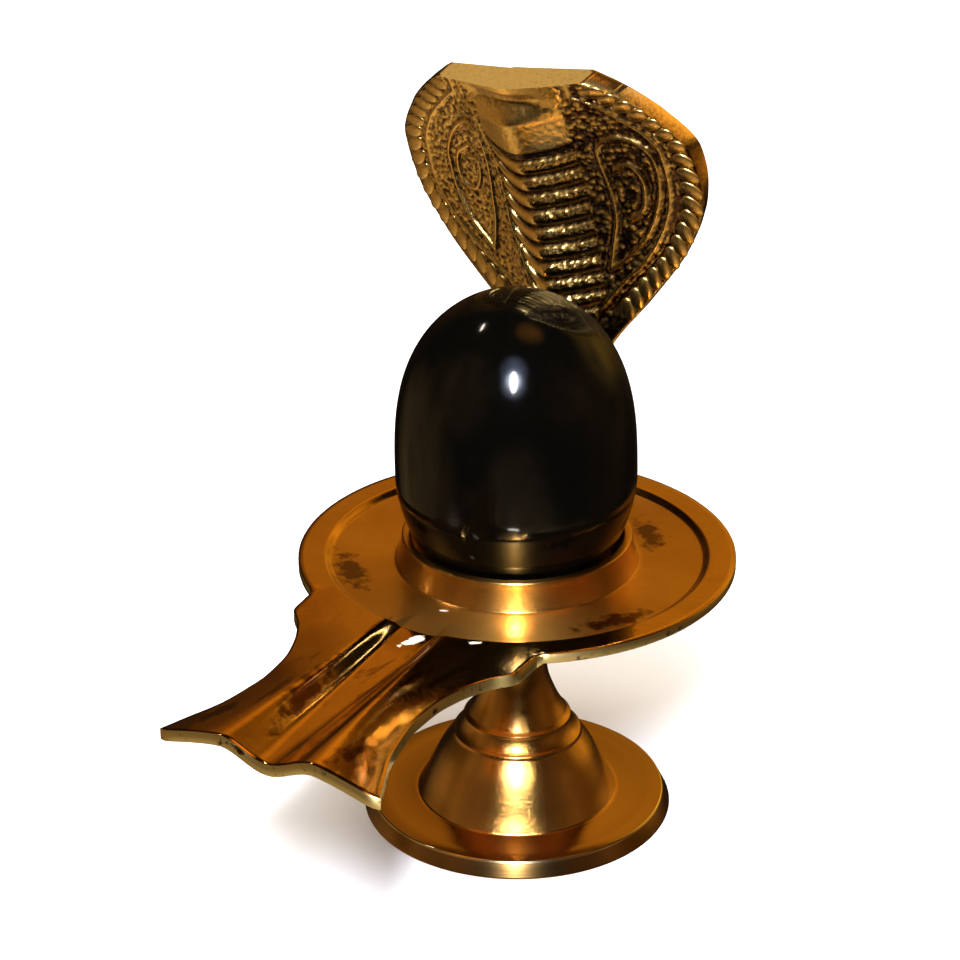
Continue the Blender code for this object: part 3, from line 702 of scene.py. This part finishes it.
dome = np.linspace(0.5 * math.pi, 0.0, 60)
below = np.linspace(0.0, 1.0, 20)[1:]
seat = COLLAR_BORE - 0.0006
bulge_heights = STONE_WAIST + (STONE_TOP - STONE_WAIST) * np.sin(dome) ** 0.67
taper_heights = STONE_WAIST + (COLLAR_LEVEL - STONE_WAIST) * below
stone_profile = list(zip(STONE_RADIUS * np.cos(dome) ** 1.09, bulge_heights))
stone_profile[0] = (0.0, STONE_TOP)
stone_profile += list(zip(STONE_RADIUS - (STONE_RADIUS - seat) * below ** 1.76, taper_heights))
stone_profile += [
    (0.0193, RIM_TOP + 0.0008), (0.0180, RIM_TOP - 0.0006),
    (0.0165, RIM_TOP - 0.0008), (0.0, RIM_TOP - 0.0008),
]

# Polished black stone: a deep black that mirrors the room, duller toward the hood
black_stone, tree, shader = new_material("polished_black_stone")
place = add_node(tree, "ShaderNodeTexCoord").outputs["Object"]
grain, gloss = mottled(tree, place, STONE_GRAIN, {"Detail": 5.0}, {"To Min": 0.08, "To Max": 0.10})
tone = add_node(tree, "ShaderNodeMix", COLOURS, {6: linear("#020201"), 7: linear("#050403")}, {0: grain})
split = add_node(tree, "ShaderNodeSeparateXYZ", links={0: place})
dulled = add_node(
    tree, "ShaderNodeMapRange",
    values={"From Min": AXIS_PLACE, "From Max": AXIS_PLACE + 0.009, "To Max": 0.34},
    links={"Value": split.outputs[1]},
)
gloss = add_node(tree, "ShaderNodeMath", {"operation": "ADD"}, links={0: gloss, 1: dulled})
set_up(
    tree, shader, {"IOR": 1.48, "Specular IOR Level": 0.30},
    {"Base Color": tone.outputs[2], "Roughness": gloss},
)

stone = turned("lingam_stone", stone_profile, 160, black_stone)
lean_about = Matrix.Translation((0.0, AXIS_PLACE, COLLAR_LEVEL))
lean_axis = Vector((-math.sin(VIEW_TURN), math.cos(VIEW_TURN), 0.0))
stone.data.transform(lean_about @ Matrix.Rotation(-STONE_LEAN, 4, lean_axis) @ lean_about.inverted())


def lamps_for(piece, label, lamps, reach_past_others=False):
    """Lamps that light one piece alone and that the camera doesn't see."""
    alone = bpy.data.collections.new(label)
    alone.objects.link(piece)
    for settings in lamps:
        lamp = softbox(*settings)
        lamp.visible_camera = False
        lamp.light_linking.receiver_collection = alone
        if reach_past_others:
            lamp.light_linking.blocker_collection = alone


# Two low lamps that only the stone mirrors, past the dish, as small white dots near its foot
lamps_for(stone, "lit_by_the_dot_lamps", [
    ("left_dot_lamp", -62.0, -31.5, 0.8, 0.10, 0.030, 50.0, "#fff8ec"),
    ("middle_dot_lamp", -3.0, -33.5, 0.8, 0.13, 0.065, 26.0, "#fff8ec"),
], True)
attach(stone, "root")
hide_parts("lingam")


# Cobra hood
# A thick brass casting chased by hand: a ribbed throat, two stippled wings, each with a
# teardrop and a rope border, and a top that was filed flat where it was cut off.
HOOD_PLACE = AXIS_PLACE + 0.0300
HOOD_LENGTH = 0.0913
HOOD_THICKNESS = 0.0039
HOOD_SWEEP = 0.19
HOOD_EDGE_SLANT = 0.0012
HOOD_SIDE_TILT = math.radians(6.3)
HOOD_NECK_DEPTH = 0.0048
WIDEST = 0.0326
THROAT_HALF = 0.0122
THROAT_RISE = 0.0027
RIB_PITCH = 0.00373
RIB_RISE = 0.0012
TOP_GROOVE = 0.0759
CARVING_FOOT = 0.0400
ROPE_TOP = 0.0893
ROPE_WIDTH = 0.0036
ROPE_SLANT = math.radians(48.0)
PUNCH_GRAIN = 0.00087
PUNCH_BEAD = 0.00128
PATINA_SPECK = 0.00067

half_line = [
    (0.0, 0.0046), (0.295, 0.0054), (0.373, 0.29 * WIDEST), (0.491, 0.59 * WIDEST),
    (0.609, 0.85 * WIDEST), (0.707, 0.98 * WIDEST), (0.765, WIDEST), (0.815, 0.99 * WIDEST),
    (0.905, 0.83 * WIDEST), (0.96, 0.665 * WIDEST), (1.0, 0.0166),
]
lean_line = [(0.0, math.radians(18.2)), (0.5, math.radians(7.9)), (1.0, math.radians(26.9))]
right_rope_line = [
    (0.0411, 0.0098), (0.0483, 0.0166), (0.0526, 0.0216), (0.0566, 0.0248), (0.0614, 0.0275),
    (0.0654, 0.0289), (0.0697, 0.0294), (0.0750, 0.0293), (0.0790, 0.0273), (0.0828, 0.0234),
    (0.0863, 0.0192), (0.0885, 0.0150),
]
left_rope_line = [
    (0.0411, 0.0086), (0.0461, 0.0122), (0.0514, 0.0178), (0.0556, 0.0222), (0.0612, 0.0260),
    (0.0677, 0.0280), (0.0737, 0.0276), (0.0800, 0.0244), (0.0850, 0.0194), (0.0885, 0.0150),
]
left_throat_line = [
    (0.0400, 0.0040), (0.0509, 0.0045), (0.0549, 0.0057), (0.0599, 0.0067), (0.0727, 0.0068),
    (0.0833, 0.0080),
]


def hood_half(height, hand):
    """Width of the neck and the hood on one side."""
    shift = 0.0010 * smoothstep((height / HOOD_LENGTH - 0.4) / 0.3)
    return curve_through(half_line, height / HOOD_LENGTH) + hand * shift


def edge_slant(height, hand):
    """Share of the slant that one wing's upper edge was filed to."""
    return np.where(hand > 0.0, smoothstep((height / HOOD_LENGTH - 0.66) / 0.16), 0.0)


def spine(height):
    """Place, level and lean of the hood's front line."""
    steps = 240
    leans = curve_through(lean_line, np.linspace(0.0, 1.0, steps + 1))
    run = HOOD_LENGTH / steps
    place = HOOD_PLACE - np.concatenate([[0.0], np.cumsum(np.sin(leans[:-1]) * run)])
    level = RIM_TOP + np.concatenate([[0.0], np.cumsum(np.cos(leans[:-1]) * run)])
    k = np.clip(np.round(height / run).astype(int), 0, steps)
    past = height - k * run
    return place[k] - np.sin(leans[k]) * past, level[k] + np.cos(leans[k]) * past, leans[k]


def hood_point(side, height, depth):
    """A place on or behind the hood's front, given across, along and back from its line."""
    place, level, lean = spine(height)
    y = place + depth * np.cos(lean) - HOOD_PLACE
    z = level + depth * np.sin(lean) - RIM_TOP
    cosine, sine = math.cos(HOOD_SIDE_TILT), math.sin(HOOD_SIDE_TILT)
    return np.stack([side * cosine - z * sine, y + HOOD_PLACE, side * sine + z * cosine + RIM_TOP], -1)


def swept(side, half):
    """How far the wings sweep back."""
    soften = 0.12 * half
    return HOOD_SWEEP * (np.sqrt(side * side + soften * soften) - soften)


def path_through(points, count):
    """Evenly spaced points on a smooth path through points."""
    points = np.array(points)
    spacing = np.concatenate([[0.0], np.cumsum(np.linalg.norm(np.diff(points, axis=0), axis=1))])
    padded = np.concatenate([[2 * points[0] - points[1]], points, [2 * points[-1] - points[-2]]])
    places = np.linspace(0.0, spacing[-1], count)
    k = np.clip(np.searchsorted(spacing, places) - 1, 0, len(points) - 2)
    t = ((places - spacing[k]) / (spacing[k + 1] - spacing[k]))[:, None]
    a, b, c, d = padded[k], padded[k + 1], padded[k + 2], padded[k + 3]
    start = 2 * b + (c - a) * t
    return 0.5 * (start + (2 * a - 5 * b + 4 * c - d) * t ** 2 + (3 * b - a - 3 * c + d) * t ** 3)


def distance_to(path, side, height):
    """Distance from each place on the hood to the nearest point of a path."""
    nearest = np.full(side.shape, 1.0)
    for x, y in path:
        nearest = np.minimum(nearest, (side - x) ** 2 + (height - y) ** 2)
    return np.sqrt(nearest)


# Chased lines, as places across and along the front: how wide each is and how far it stands
chased_lines = [
    ([
        (0.0122, 0.0510), (0.0140, 0.0574), (0.0153, 0.0617), (0.0156, 0.0662), (0.0152, 0.0702),
        (0.0147, 0.0742), (0.0152, 0.0775), (0.0186, 0.0790), (0.0222, 0.0780), (0.0248, 0.0752),
        (0.0255, 0.0717), (0.0250, 0.0674), (0.0234, 0.0627), (0.0204, 0.0576), (0.0159, 0.0536),
        (0.0122, 0.0510),
    ], 0.00052, 0.00042),
    ([
        (0.0172, 0.0722), (0.0202, 0.0730), (0.0220, 0.0704), (0.0221, 0.0674), (0.0210, 0.0637),
        (0.0182, 0.0617),
    ], 0.00060, 0.00045),
    ([
        (-0.0137, 0.0532), (-0.0117, 0.0599), (-0.0109, 0.0652), (-0.0099, 0.0717), (-0.0097, 0.0770),
        (-0.0103, 0.0803), (-0.0126, 0.0815), (-0.0165, 0.0787), (-0.0196, 0.0737), (-0.0202, 0.0692),
        (-0.0199, 0.0639), (-0.0185, 0.0591), (-0.0159, 0.0557), (-0.0137, 0.0532),
    ], 0.00048, 0.00042),
    ([
        (-0.0140, 0.0757), (-0.0172, 0.0735), (-0.0184, 0.0699), (-0.0178, 0.0668), (-0.0151, 0.0660),
        (-0.0131, 0.0689), (-0.0127, 0.0725), (-0.0150, 0.0728),
    ], 0.00044, 0.00034),
    ([
        (-0.0082, 0.0845), (-0.0084, 0.0820), (-0.0078, 0.0792), (-0.0072, 0.0727), (-0.0072, 0.0659),
        (-0.0074, 0.0599), (-0.0062, 0.0549), (-0.0050, 0.0480),
    ], 0.00030, 0.00016),
]
rows_low = np.linspace(-0.0040, CARVING_FOOT, 40)[:-1]
hood_heights = np.concatenate([rows_low, np.linspace(CARVING_FOOT, HOOD_LENGTH, 222)])


def spread(shares):
    """Heights, hand, outline, neck and rise for the rows and columns of one face of the hood."""
    height = np.repeat(hood_heights[:, None], len(shares), 1)
    at = np.maximum(height, 0.0)
    hand = np.where(shares < 0, -1.0, 1.0)[None, :]
    neck = smoothstep((0.42 * HOOD_LENGTH - at) / (0.12 * HOOD_LENGTH))
    return height, at, hand, hood_half(at, hand), neck, THROAT_RISE * (1.0 - 0.6 * neck)


front_shares = np.linspace(-1.0, 1.0, 277)
back_shares = np.linspace(1.0, -1.0, 45)
height, at, hand, silhouette, neck, rise = spread(front_shares)
half = silhouette - HOOD_EDGE_SLANT * edge_slant(at, hand)
side = half * front_shares[None, :]
across = np.abs(side)
right_wing = smoothstep(side / 0.002 + 0.5)
cut_away = smoothstep((at - 0.92 * HOOD_LENGTH) / (0.05 * HOOD_LENGTH))
throat = np.minimum(THROAT_HALF, 0.7 * (half - np.minimum(ROPE_WIDTH, 0.3 * half)))
soften = 0.0011 + 0.0018 * smoothstep((at - TOP_GROOVE) / 0.004)
rounded = np.sqrt(across ** 2 + soften ** 2) - soften
bulge = rise * np.clip(1.0 - rounded / throat, 0.0, 1.0) ** 1.4 * (1.0 - cut_away)

# The smooth filed scoop under the flat top, with a leaf shaped hollow in it
scoop_foot = 0.0868 - 0.12 * (side - 0.006) + 0.8 * np.clip(-0.0085 - side, 0.0, 1.0)
scoop = smoothstep((at - scoop_foot) / 0.0007)
scoop = scoop * smoothstep((0.0125 - side) / 0.003) * smoothstep((side + 0.0125) / 0.002)
leaf = np.clip(1.0 - ((at - (0.0884 - 0.13 * side)) / 0.0017) ** 2, 0.0, 1.0)
leaf = leaf * smoothstep((0.0085 - np.abs(side + 0.0015)) / 0.004)
leaf = leaf * smoothstep((at - scoop_foot + 0.0010) / 0.0016)

# The throat's ribs are rolls that overhang a little, and bend up where they meet a wing
ribbed_half = np.where(hand < 0, curve_through(left_throat_line, at), np.minimum(0.0106, 0.9 * throat))
in_throat = smoothstep((ribbed_half - across) / 0.0010 + 0.5)
share = np.clip(across / ribbed_half, 0.0, 1.1)
bend = np.where(hand < 0, 0.0030 * share ** 3.5, 0.0010 * share ** 3)
phase = (TOP_GROOVE - (at - bend)) / RIB_PITCH
along_rib = phase - np.floor(phase)
rib = np.sin(math.pi * along_rib ** 0.85) ** 0.72
ribbed = smoothstep((phase + 0.04) / 0.08)
groove = (1.0 - rib) * in_throat * ribbed
lip = smoothstep((phase + 0.50) / 0.12) * (1.0 - ribbed) * in_throat
scoop_near = smoothstep((at - scoop_foot + 0.0022) / 0.0044)
above = (1.0 - ribbed) * in_throat * (1.0 - scoop_near)
stand = -RIB_RISE * groove - 0.0007 * lip - 0.0002 * above - 0.0004 * leaf
rolls = in_throat * ribbed * (1.0 - groove)

# Raised chased lines with a fine cut along both sides, and the cut inside the rope
visible = smoothstep((at - CARVING_FOOT) / 0.004)
roped = visible * smoothstep((ROPE_TOP - at) / 0.001)
smooth = np.maximum(scoop, 0.0)
cuts = np.zeros(side.shape)
for points, width, stands in chased_lines:
    away = distance_to(path_through(points, 220), side, at)
    line = np.maximum(0.0, 1.0 - (away / width) ** 2)
    cuts = np.maximum(cuts, np.exp(-((away - 1.8 * width) / (0.55 * width)) ** 2) * (1.0 - line))
    stand = stand + stands * line
    smooth = np.maximum(smooth, np.minimum(1.0, 1.5 * line))
rope_inside = np.where(hand < 0, curve_through(left_rope_line, at), curve_through(right_rope_line, at))
in_rope = smoothstep((across - rope_inside) / 0.0003) * roped
rope_cut = np.exp(-((across - rope_inside + 0.0001) / 0.00055) ** 2) * roped
plain_line = np.exp(-((across - rope_inside + 0.0024) / 0.0005) ** 2) * visible
plain_line = plain_line * (1.0 - in_throat) * (1.0 - scoop)
stand = stand - 0.0005 * rope_cut - 0.00035 * in_rope + 0.0003 * plain_line - 0.0003 * cuts * (1.0 - scoop)
smooth = np.maximum(smooth, plain_line)
smooth = np.maximum(smooth, smoothstep((0.0011 - (half - across)) / 0.0004))

# Punched ground: fine pits on the left wing, rows of beads about a millimetre apart on the right
grain = np.zeros(side.shape)
beads = np.zeros(side.shape)
for r in range(side.shape[0]):
    if hood_heights[r] < 0.038:
        continue
    for c in range(side.shape[1]):
        spot = Vector((side[r, c], at[r, c], 0.0))
        grain[r, c] = noise.noise(spot / PUNCH_GRAIN) + 0.6 * noise.noise(spot * 2.0 / PUNCH_GRAIN)
        if side[r, c] > 0.004:
            nearest = noise.voronoi(spot / PUNCH_BEAD, distance_metric="DISTANCE", exponent=2.5)[0][0]
            beads[r, c] = 1.0 - min(1.0, 1.6 * nearest) ** 2
ground = (1.0 - smooth) * (1.0 - in_throat * ribbed) * (1.0 - in_rope) * (1.0 - 0.8 * above)
beaded = smoothstep((side - 0.006) / 0.003)
left_ground = (1.0 - beaded) * 0.00020 * grain
right_ground = beaded * (0.00034 * beads + 0.00007 * grain - 0.0002)
stand = stand + ground * (left_ground + right_ground)
rough_rolls = rolls * right_wing * smoothstep((0.62 - along_rib) / 0.15)
stand = stand + 0.00028 * grain * rough_rolls + 0.00003 * grain * rolls
pits = (1.0 - beaded) * np.clip(0.42 - 1.3 * grain, 0.0, 1.0)
pits = pits + beaded * np.clip(0.95 - 1.1 * beads, 0.0, 1.0)
# The lower side of each rib roll, darkened as painted shade, except a strip near its foot left lighter as a
# painted reflection
underside = smoothstep((along_rib - 0.42) / 0.10) * (1.0 - 0.35 * np.exp(-((along_rib - 0.74) / 0.07) ** 2))
# Darkening of the hood: patina in the pits, grooves, cuts and rope is the casting's own, the rest below is
# painted shade
patina_and_shade = np.maximum.reduce([
    pits * ground * (1.0 - 0.6 * above),
    smoothstep(groove * 2.2 - 0.5),
    # painted shade: the dark band of the lip under the plain throat
    0.95 * lip,
    # patina in the cuts, painted darker on the right wing as painted shade
    0.9 * cuts * (1.0 - scoop) * (0.45 + 0.55 * right_wing),
    rope_cut,
    0.75 * in_rope,
    # painted shade on the undersides of the right wing's rib rolls, with a lighter painted reflection low
    # on each
    rolls * right_wing * (0.20 + 0.72 * underside),
    # painted shade in the leaf shaped hollow
    0.52 * leaf,
    # painted shade on the right wing's smooth raised lines
    0.55 * right_wing * smooth * (1.0 - scoop) * smoothstep((half - across - 0.001) / 0.001),
])
# The whole right wing's ground is painted darker: painted shade
patina_and_shade = np.clip(patina_and_shade + 0.22 * right_wing * ground, 0.0, 1.0)
edge_round = 0.0007
past_edge = np.clip((edge_round - (half - across)) / edge_round, 0.0, 1.0)
stand = stand - edge_round * (1.0 - np.sqrt(1.0 - past_edge ** 2))
front = hood_point(side, height, swept(side, silhouette) + rise - bulge - stand)
front_polish = np.clip(smooth + rolls + 0.5 * above, 0.0, 1.0)

height, at, hand, half, neck, rise = spread(back_shares)
thickness = HOOD_THICKNESS * (1.0 - 0.75 * neck)
slope = HOOD_SWEEP * (1.0 - neck)
slant = np.sqrt(1.0 + slope ** 2)
across = np.abs(back_shares)[None, :]
side_back = half * across
flat = (swept(half, half) - swept(side_back, half)) * 0.8 * (1.0 - neck)
round_off = (HOOD_NECK_DEPTH - rise - thickness) * neck * (1.0 - across ** 2.5)
depth = swept(side_back, half) + rise + thickness / slant + round_off + flat
depth = depth - edge_round * smoothstep((across - 0.97) / 0.03)
lean_in = slope / slant * thickness * across * (1.0 - edge_slant(at, hand))
back = hood_point(hand * (side_back - lean_in), height, depth)

loops = np.concatenate([front, back], 1)
flat_top = loops[-1:] + 0.05 * (loops[-1:].mean(1, keepdims=True) - loops[-1:])
loops = np.concatenate([loops, flat_top])
layers = {}
for name, on_front, on_back, on_top in (("patina_and_shade", patina_and_shade, 0.12, 0.0), ("polish", front_polish, 1.0, 1.0)):
    sides = np.concatenate([on_front, np.full(back.shape[:2], on_back)], 1)
    layers[name] = np.concatenate([sides, np.full((1, sides.shape[1]), on_top)])
floor_level = RIM_TOP - DISH_DEPTH + 0.0003
loops[:, :, 2] = np.maximum(loops[:, :, 2], floor_level)
count = loops.shape[1]
hood_points = loops.reshape(-1, 3)
hood_faces = grid_faces(loops.shape[0], count).tolist()
hood_faces.append(list(range(count))[::-1])
hood_faces.append(list(range((loops.shape[0] - 1) * count, loops.shape[0] * count)))

# Cast brass: gold on what stands out, with dark brown patina left in the punched ground, and painted shade
# on the lip, under the right wing's ribs, in the leaf hollow and over the right wing
cast_brass, tree, shader = new_material("cast_brass_with_patina_and_shade")
place = add_node(tree, "ShaderNodeTexCoord").outputs["Object"]
patina_and_shade_layer, polish_layer = [
    add_node(tree, "ShaderNodeAttribute", {"attribute_name": name}).outputs["Fac"] for name in layers
]
speck, speck_mask = mottled(
    tree, place, PATINA_SPECK, {"Detail": 3.0, "Roughness": 0.6},
    {"From Min": 0.3, "From Max": 0.7, "To Min": -0.22, "To Max": 0.22},
)
patina_and_shade_sum = add_node(
    tree, "ShaderNodeMath", {"operation": "ADD", "use_clamp": True},
    links={0: patina_and_shade_layer, 1: speck_mask},
)
tone = add_node(
    tree, "ShaderNodeMix", COLOURS, {6: linear("#e6bd69"), 7: linear("#38200f")}, {0: patina_and_shade_sum},
)
gloss = add_node(
    tree, "ShaderNodeMapRange", values={"To Min": 0.29, "To Max": 0.24}, links={"Value": polish_layer},
)
speck_bump = add_node(
    tree, "ShaderNodeBump", values={"Strength": 0.3, "Distance": 0.00008}, links={"Height": speck},
)
set_up(
    tree, shader, {"Metallic": 1.0, "Coat Weight": 0.35, "Coat Roughness": 0.16},
    {"Base Color": tone.outputs[2], "Roughness": gloss, "Normal": speck_bump},
)

hood = mesh_piece("cobra_hood_cast", hood_points, hood_faces, cast_brass)
for name, values in layers.items():
    add_layer(hood.data, name, values)
face_outward(hood)
hood.data.set_sharp_from_angle(angle=math.radians(60.0))


def base_front(side, height):
    """The hood's front without its carving."""
    hand = np.sign(side)
    half = hood_half(height, hand)
    return hood_point(side, height, swept(side, half) + THROAT_RISE)


def rope_places(line, hand, twists):
    """Centre, turn and size of each twist of the rope along one wing."""
    heights = np.linspace(0.0425, 0.0892, 400)
    inside = curve_through(line, heights) + 0.0003
    edge = hood_half(heights, hand) - HOOD_EDGE_SLANT * edge_slant(heights, hand)
    middle = 0.5 * (inside + edge) - 0.0001
    if hand < 0.0:
        middle = middle - 0.0009
    middle = hand * middle
    run = np.concatenate([[0.0], np.cumsum(np.hypot(np.diff(middle), np.diff(heights)))])
    spots = np.linspace(0.0, run[-1], twists)
    step = 0.0003
    side, ahead, behind = [np.interp(spots + move, run, middle) for move in (0.0, step, -step)]
    height, above, below = [np.interp(spots + move, run, heights) for move in (0.0, step, -step)]
    places = base_front(side, height)
    forward = base_front(ahead, above) - base_front(behind, below)
    forward /= np.linalg.norm(forward, axis=1, keepdims=True)
    outward = np.cross(base_front(side + step, height) - places, base_front(side, height + step) - places)
    outward /= np.linalg.norm(outward, axis=1, keepdims=True)
    travel = np.hypot(ahead - behind, above - below)
    level_width = np.interp(height, heights, edge - inside)
    width = level_width * np.abs(above - below) / np.maximum(travel, 1e-6)
    width = np.clip(width, 0.0020, 0.0032)
    turns = []
    for k in range(twists):
        normal = Vector(outward[k])
        long_way = Matrix.Rotation(hand * ROPE_SLANT, 3, normal) @ Vector(forward[k])
        cross_way = normal.cross(long_way)
        turns.append(Matrix((long_way, cross_way, normal)).transposed().to_euler())
    flatness = 0.00056 if hand > 0.0 else 0.00040
    sizes = np.stack([0.62 * width + 0.0006, np.full(twists, 0.00146), np.full(twists, flatness)], -1)
    return places - outward * 0.0001, np.array(turns), sizes


ropes = (rope_places(right_rope_line, 1.0, 20), rope_places(left_rope_line, -1.0, 20))
places, turns, sizes = [np.concatenate(both) for both in zip(*ropes)]
rope_item = mesh_piece("rope_places", places, [], cast_brass)
add_layer(rope_item.data, "turn", turns, "FLOAT_VECTOR", "vector")
add_layer(rope_item.data, "size", sizes, "FLOAT_VECTOR", "vector")

# The rope's twists are set along both wings and joined to the hood
twisting = bpy.data.node_groups.new("rope_twists", "GeometryNodeTree")
for way in ("INPUT", "OUTPUT"):
    twisting.interface.new_socket("Geometry", in_out=way, socket_type="NodeSocketGeometry")
rope_inputs = []
for label, kind, value in (
    ("Twist places", "Object", rope_item), ("Twist detail", "Int", 3), ("Metal", "Material", cast_brass),
):
    socket = twisting.interface.new_socket(label, in_out="INPUT", socket_type="NodeSocket" + kind)
    rope_inputs.append((socket.identifier, value))
given = add_node(twisting, "NodeGroupInput").outputs
spots = add_node(twisting, "GeometryNodeObjectInfo", links={"Object": given["Twist places"]})
lobe = add_node(
    twisting, "GeometryNodeMeshIcoSphere", values={"Radius": 1.0},
    links={"Subdivisions": given["Twist detail"]},
)
turn_value, size_value = [
    add_node(twisting, "GeometryNodeInputNamedAttribute", {"data_type": "FLOAT_VECTOR"}, {"Name": name})
    for name in ("turn", "size")
]
placed = add_node(
    twisting, "GeometryNodeInstanceOnPoints",
    links={
        "Points": spots.outputs["Geometry"], "Instance": lobe.outputs["Mesh"],
        "Rotation": turn_value.outputs["Attribute"], "Scale": size_value.outputs["Attribute"],
    },
)
softened = add_node(twisting, "GeometryNodeSetShadeSmooth", links={"Geometry": placed.outputs["Instances"]})
joined = add_node(twisting, "GeometryNodeJoinGeometry", links={0: softened})
twisting.links.new(given["Geometry"], joined.inputs[0])
real = add_node(twisting, "GeometryNodeRealizeInstances", links={"Geometry": joined})
coloured = add_node(
    twisting, "GeometryNodeSetMaterial", links={"Geometry": real, "Material": given["Metal"]},
)
add_node(twisting, "NodeGroupOutput", links={0: coloured})
modifier = hood.modifiers.new("rope", "NODES")
modifier.node_group = twisting
for identifier, value in rope_inputs:
    modifier[identifier] = value
graph = bpy.context.evaluated_depsgraph_get()
finished_hood = bpy.data.meshes.new_from_object(hood.evaluated_get(graph))
hood.modifiers.remove(modifier)
hood.data = finished_hood
bpy.data.objects.remove(rope_item)
hood_darkening = np.zeros(len(finished_hood.vertices))
patina_and_shade_of_hood = finished_hood.attributes["patina_and_shade"].data
patina_and_shade_of_hood.foreach_get("value", hood_darkening)
hood_darkening[len(hood_points):] = 0.30
patina_and_shade_of_hood.foreach_set("value", hood_darkening)

# Lamps that only the hood catches: two warm ones on its cut edge, one behind its flat top
lamps_for(hood, "lit_by_the_hood_lamps", [
    ("edge_lamp", 50.0, 30.0, 1.6, 0.90, 1.20, 1.7, "#ffc052"),
    ("low_edge_lamp", 85.0, -6.0, 0.33, 0.17, 0.17, 0.5, "#ffb648"),
    ("top_lamp", -146.0, 47.0, 1.6, 0.70, 0.50, 0.62, "#fff0cf"),
])
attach(hood, "root")
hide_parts("cobra_hood")
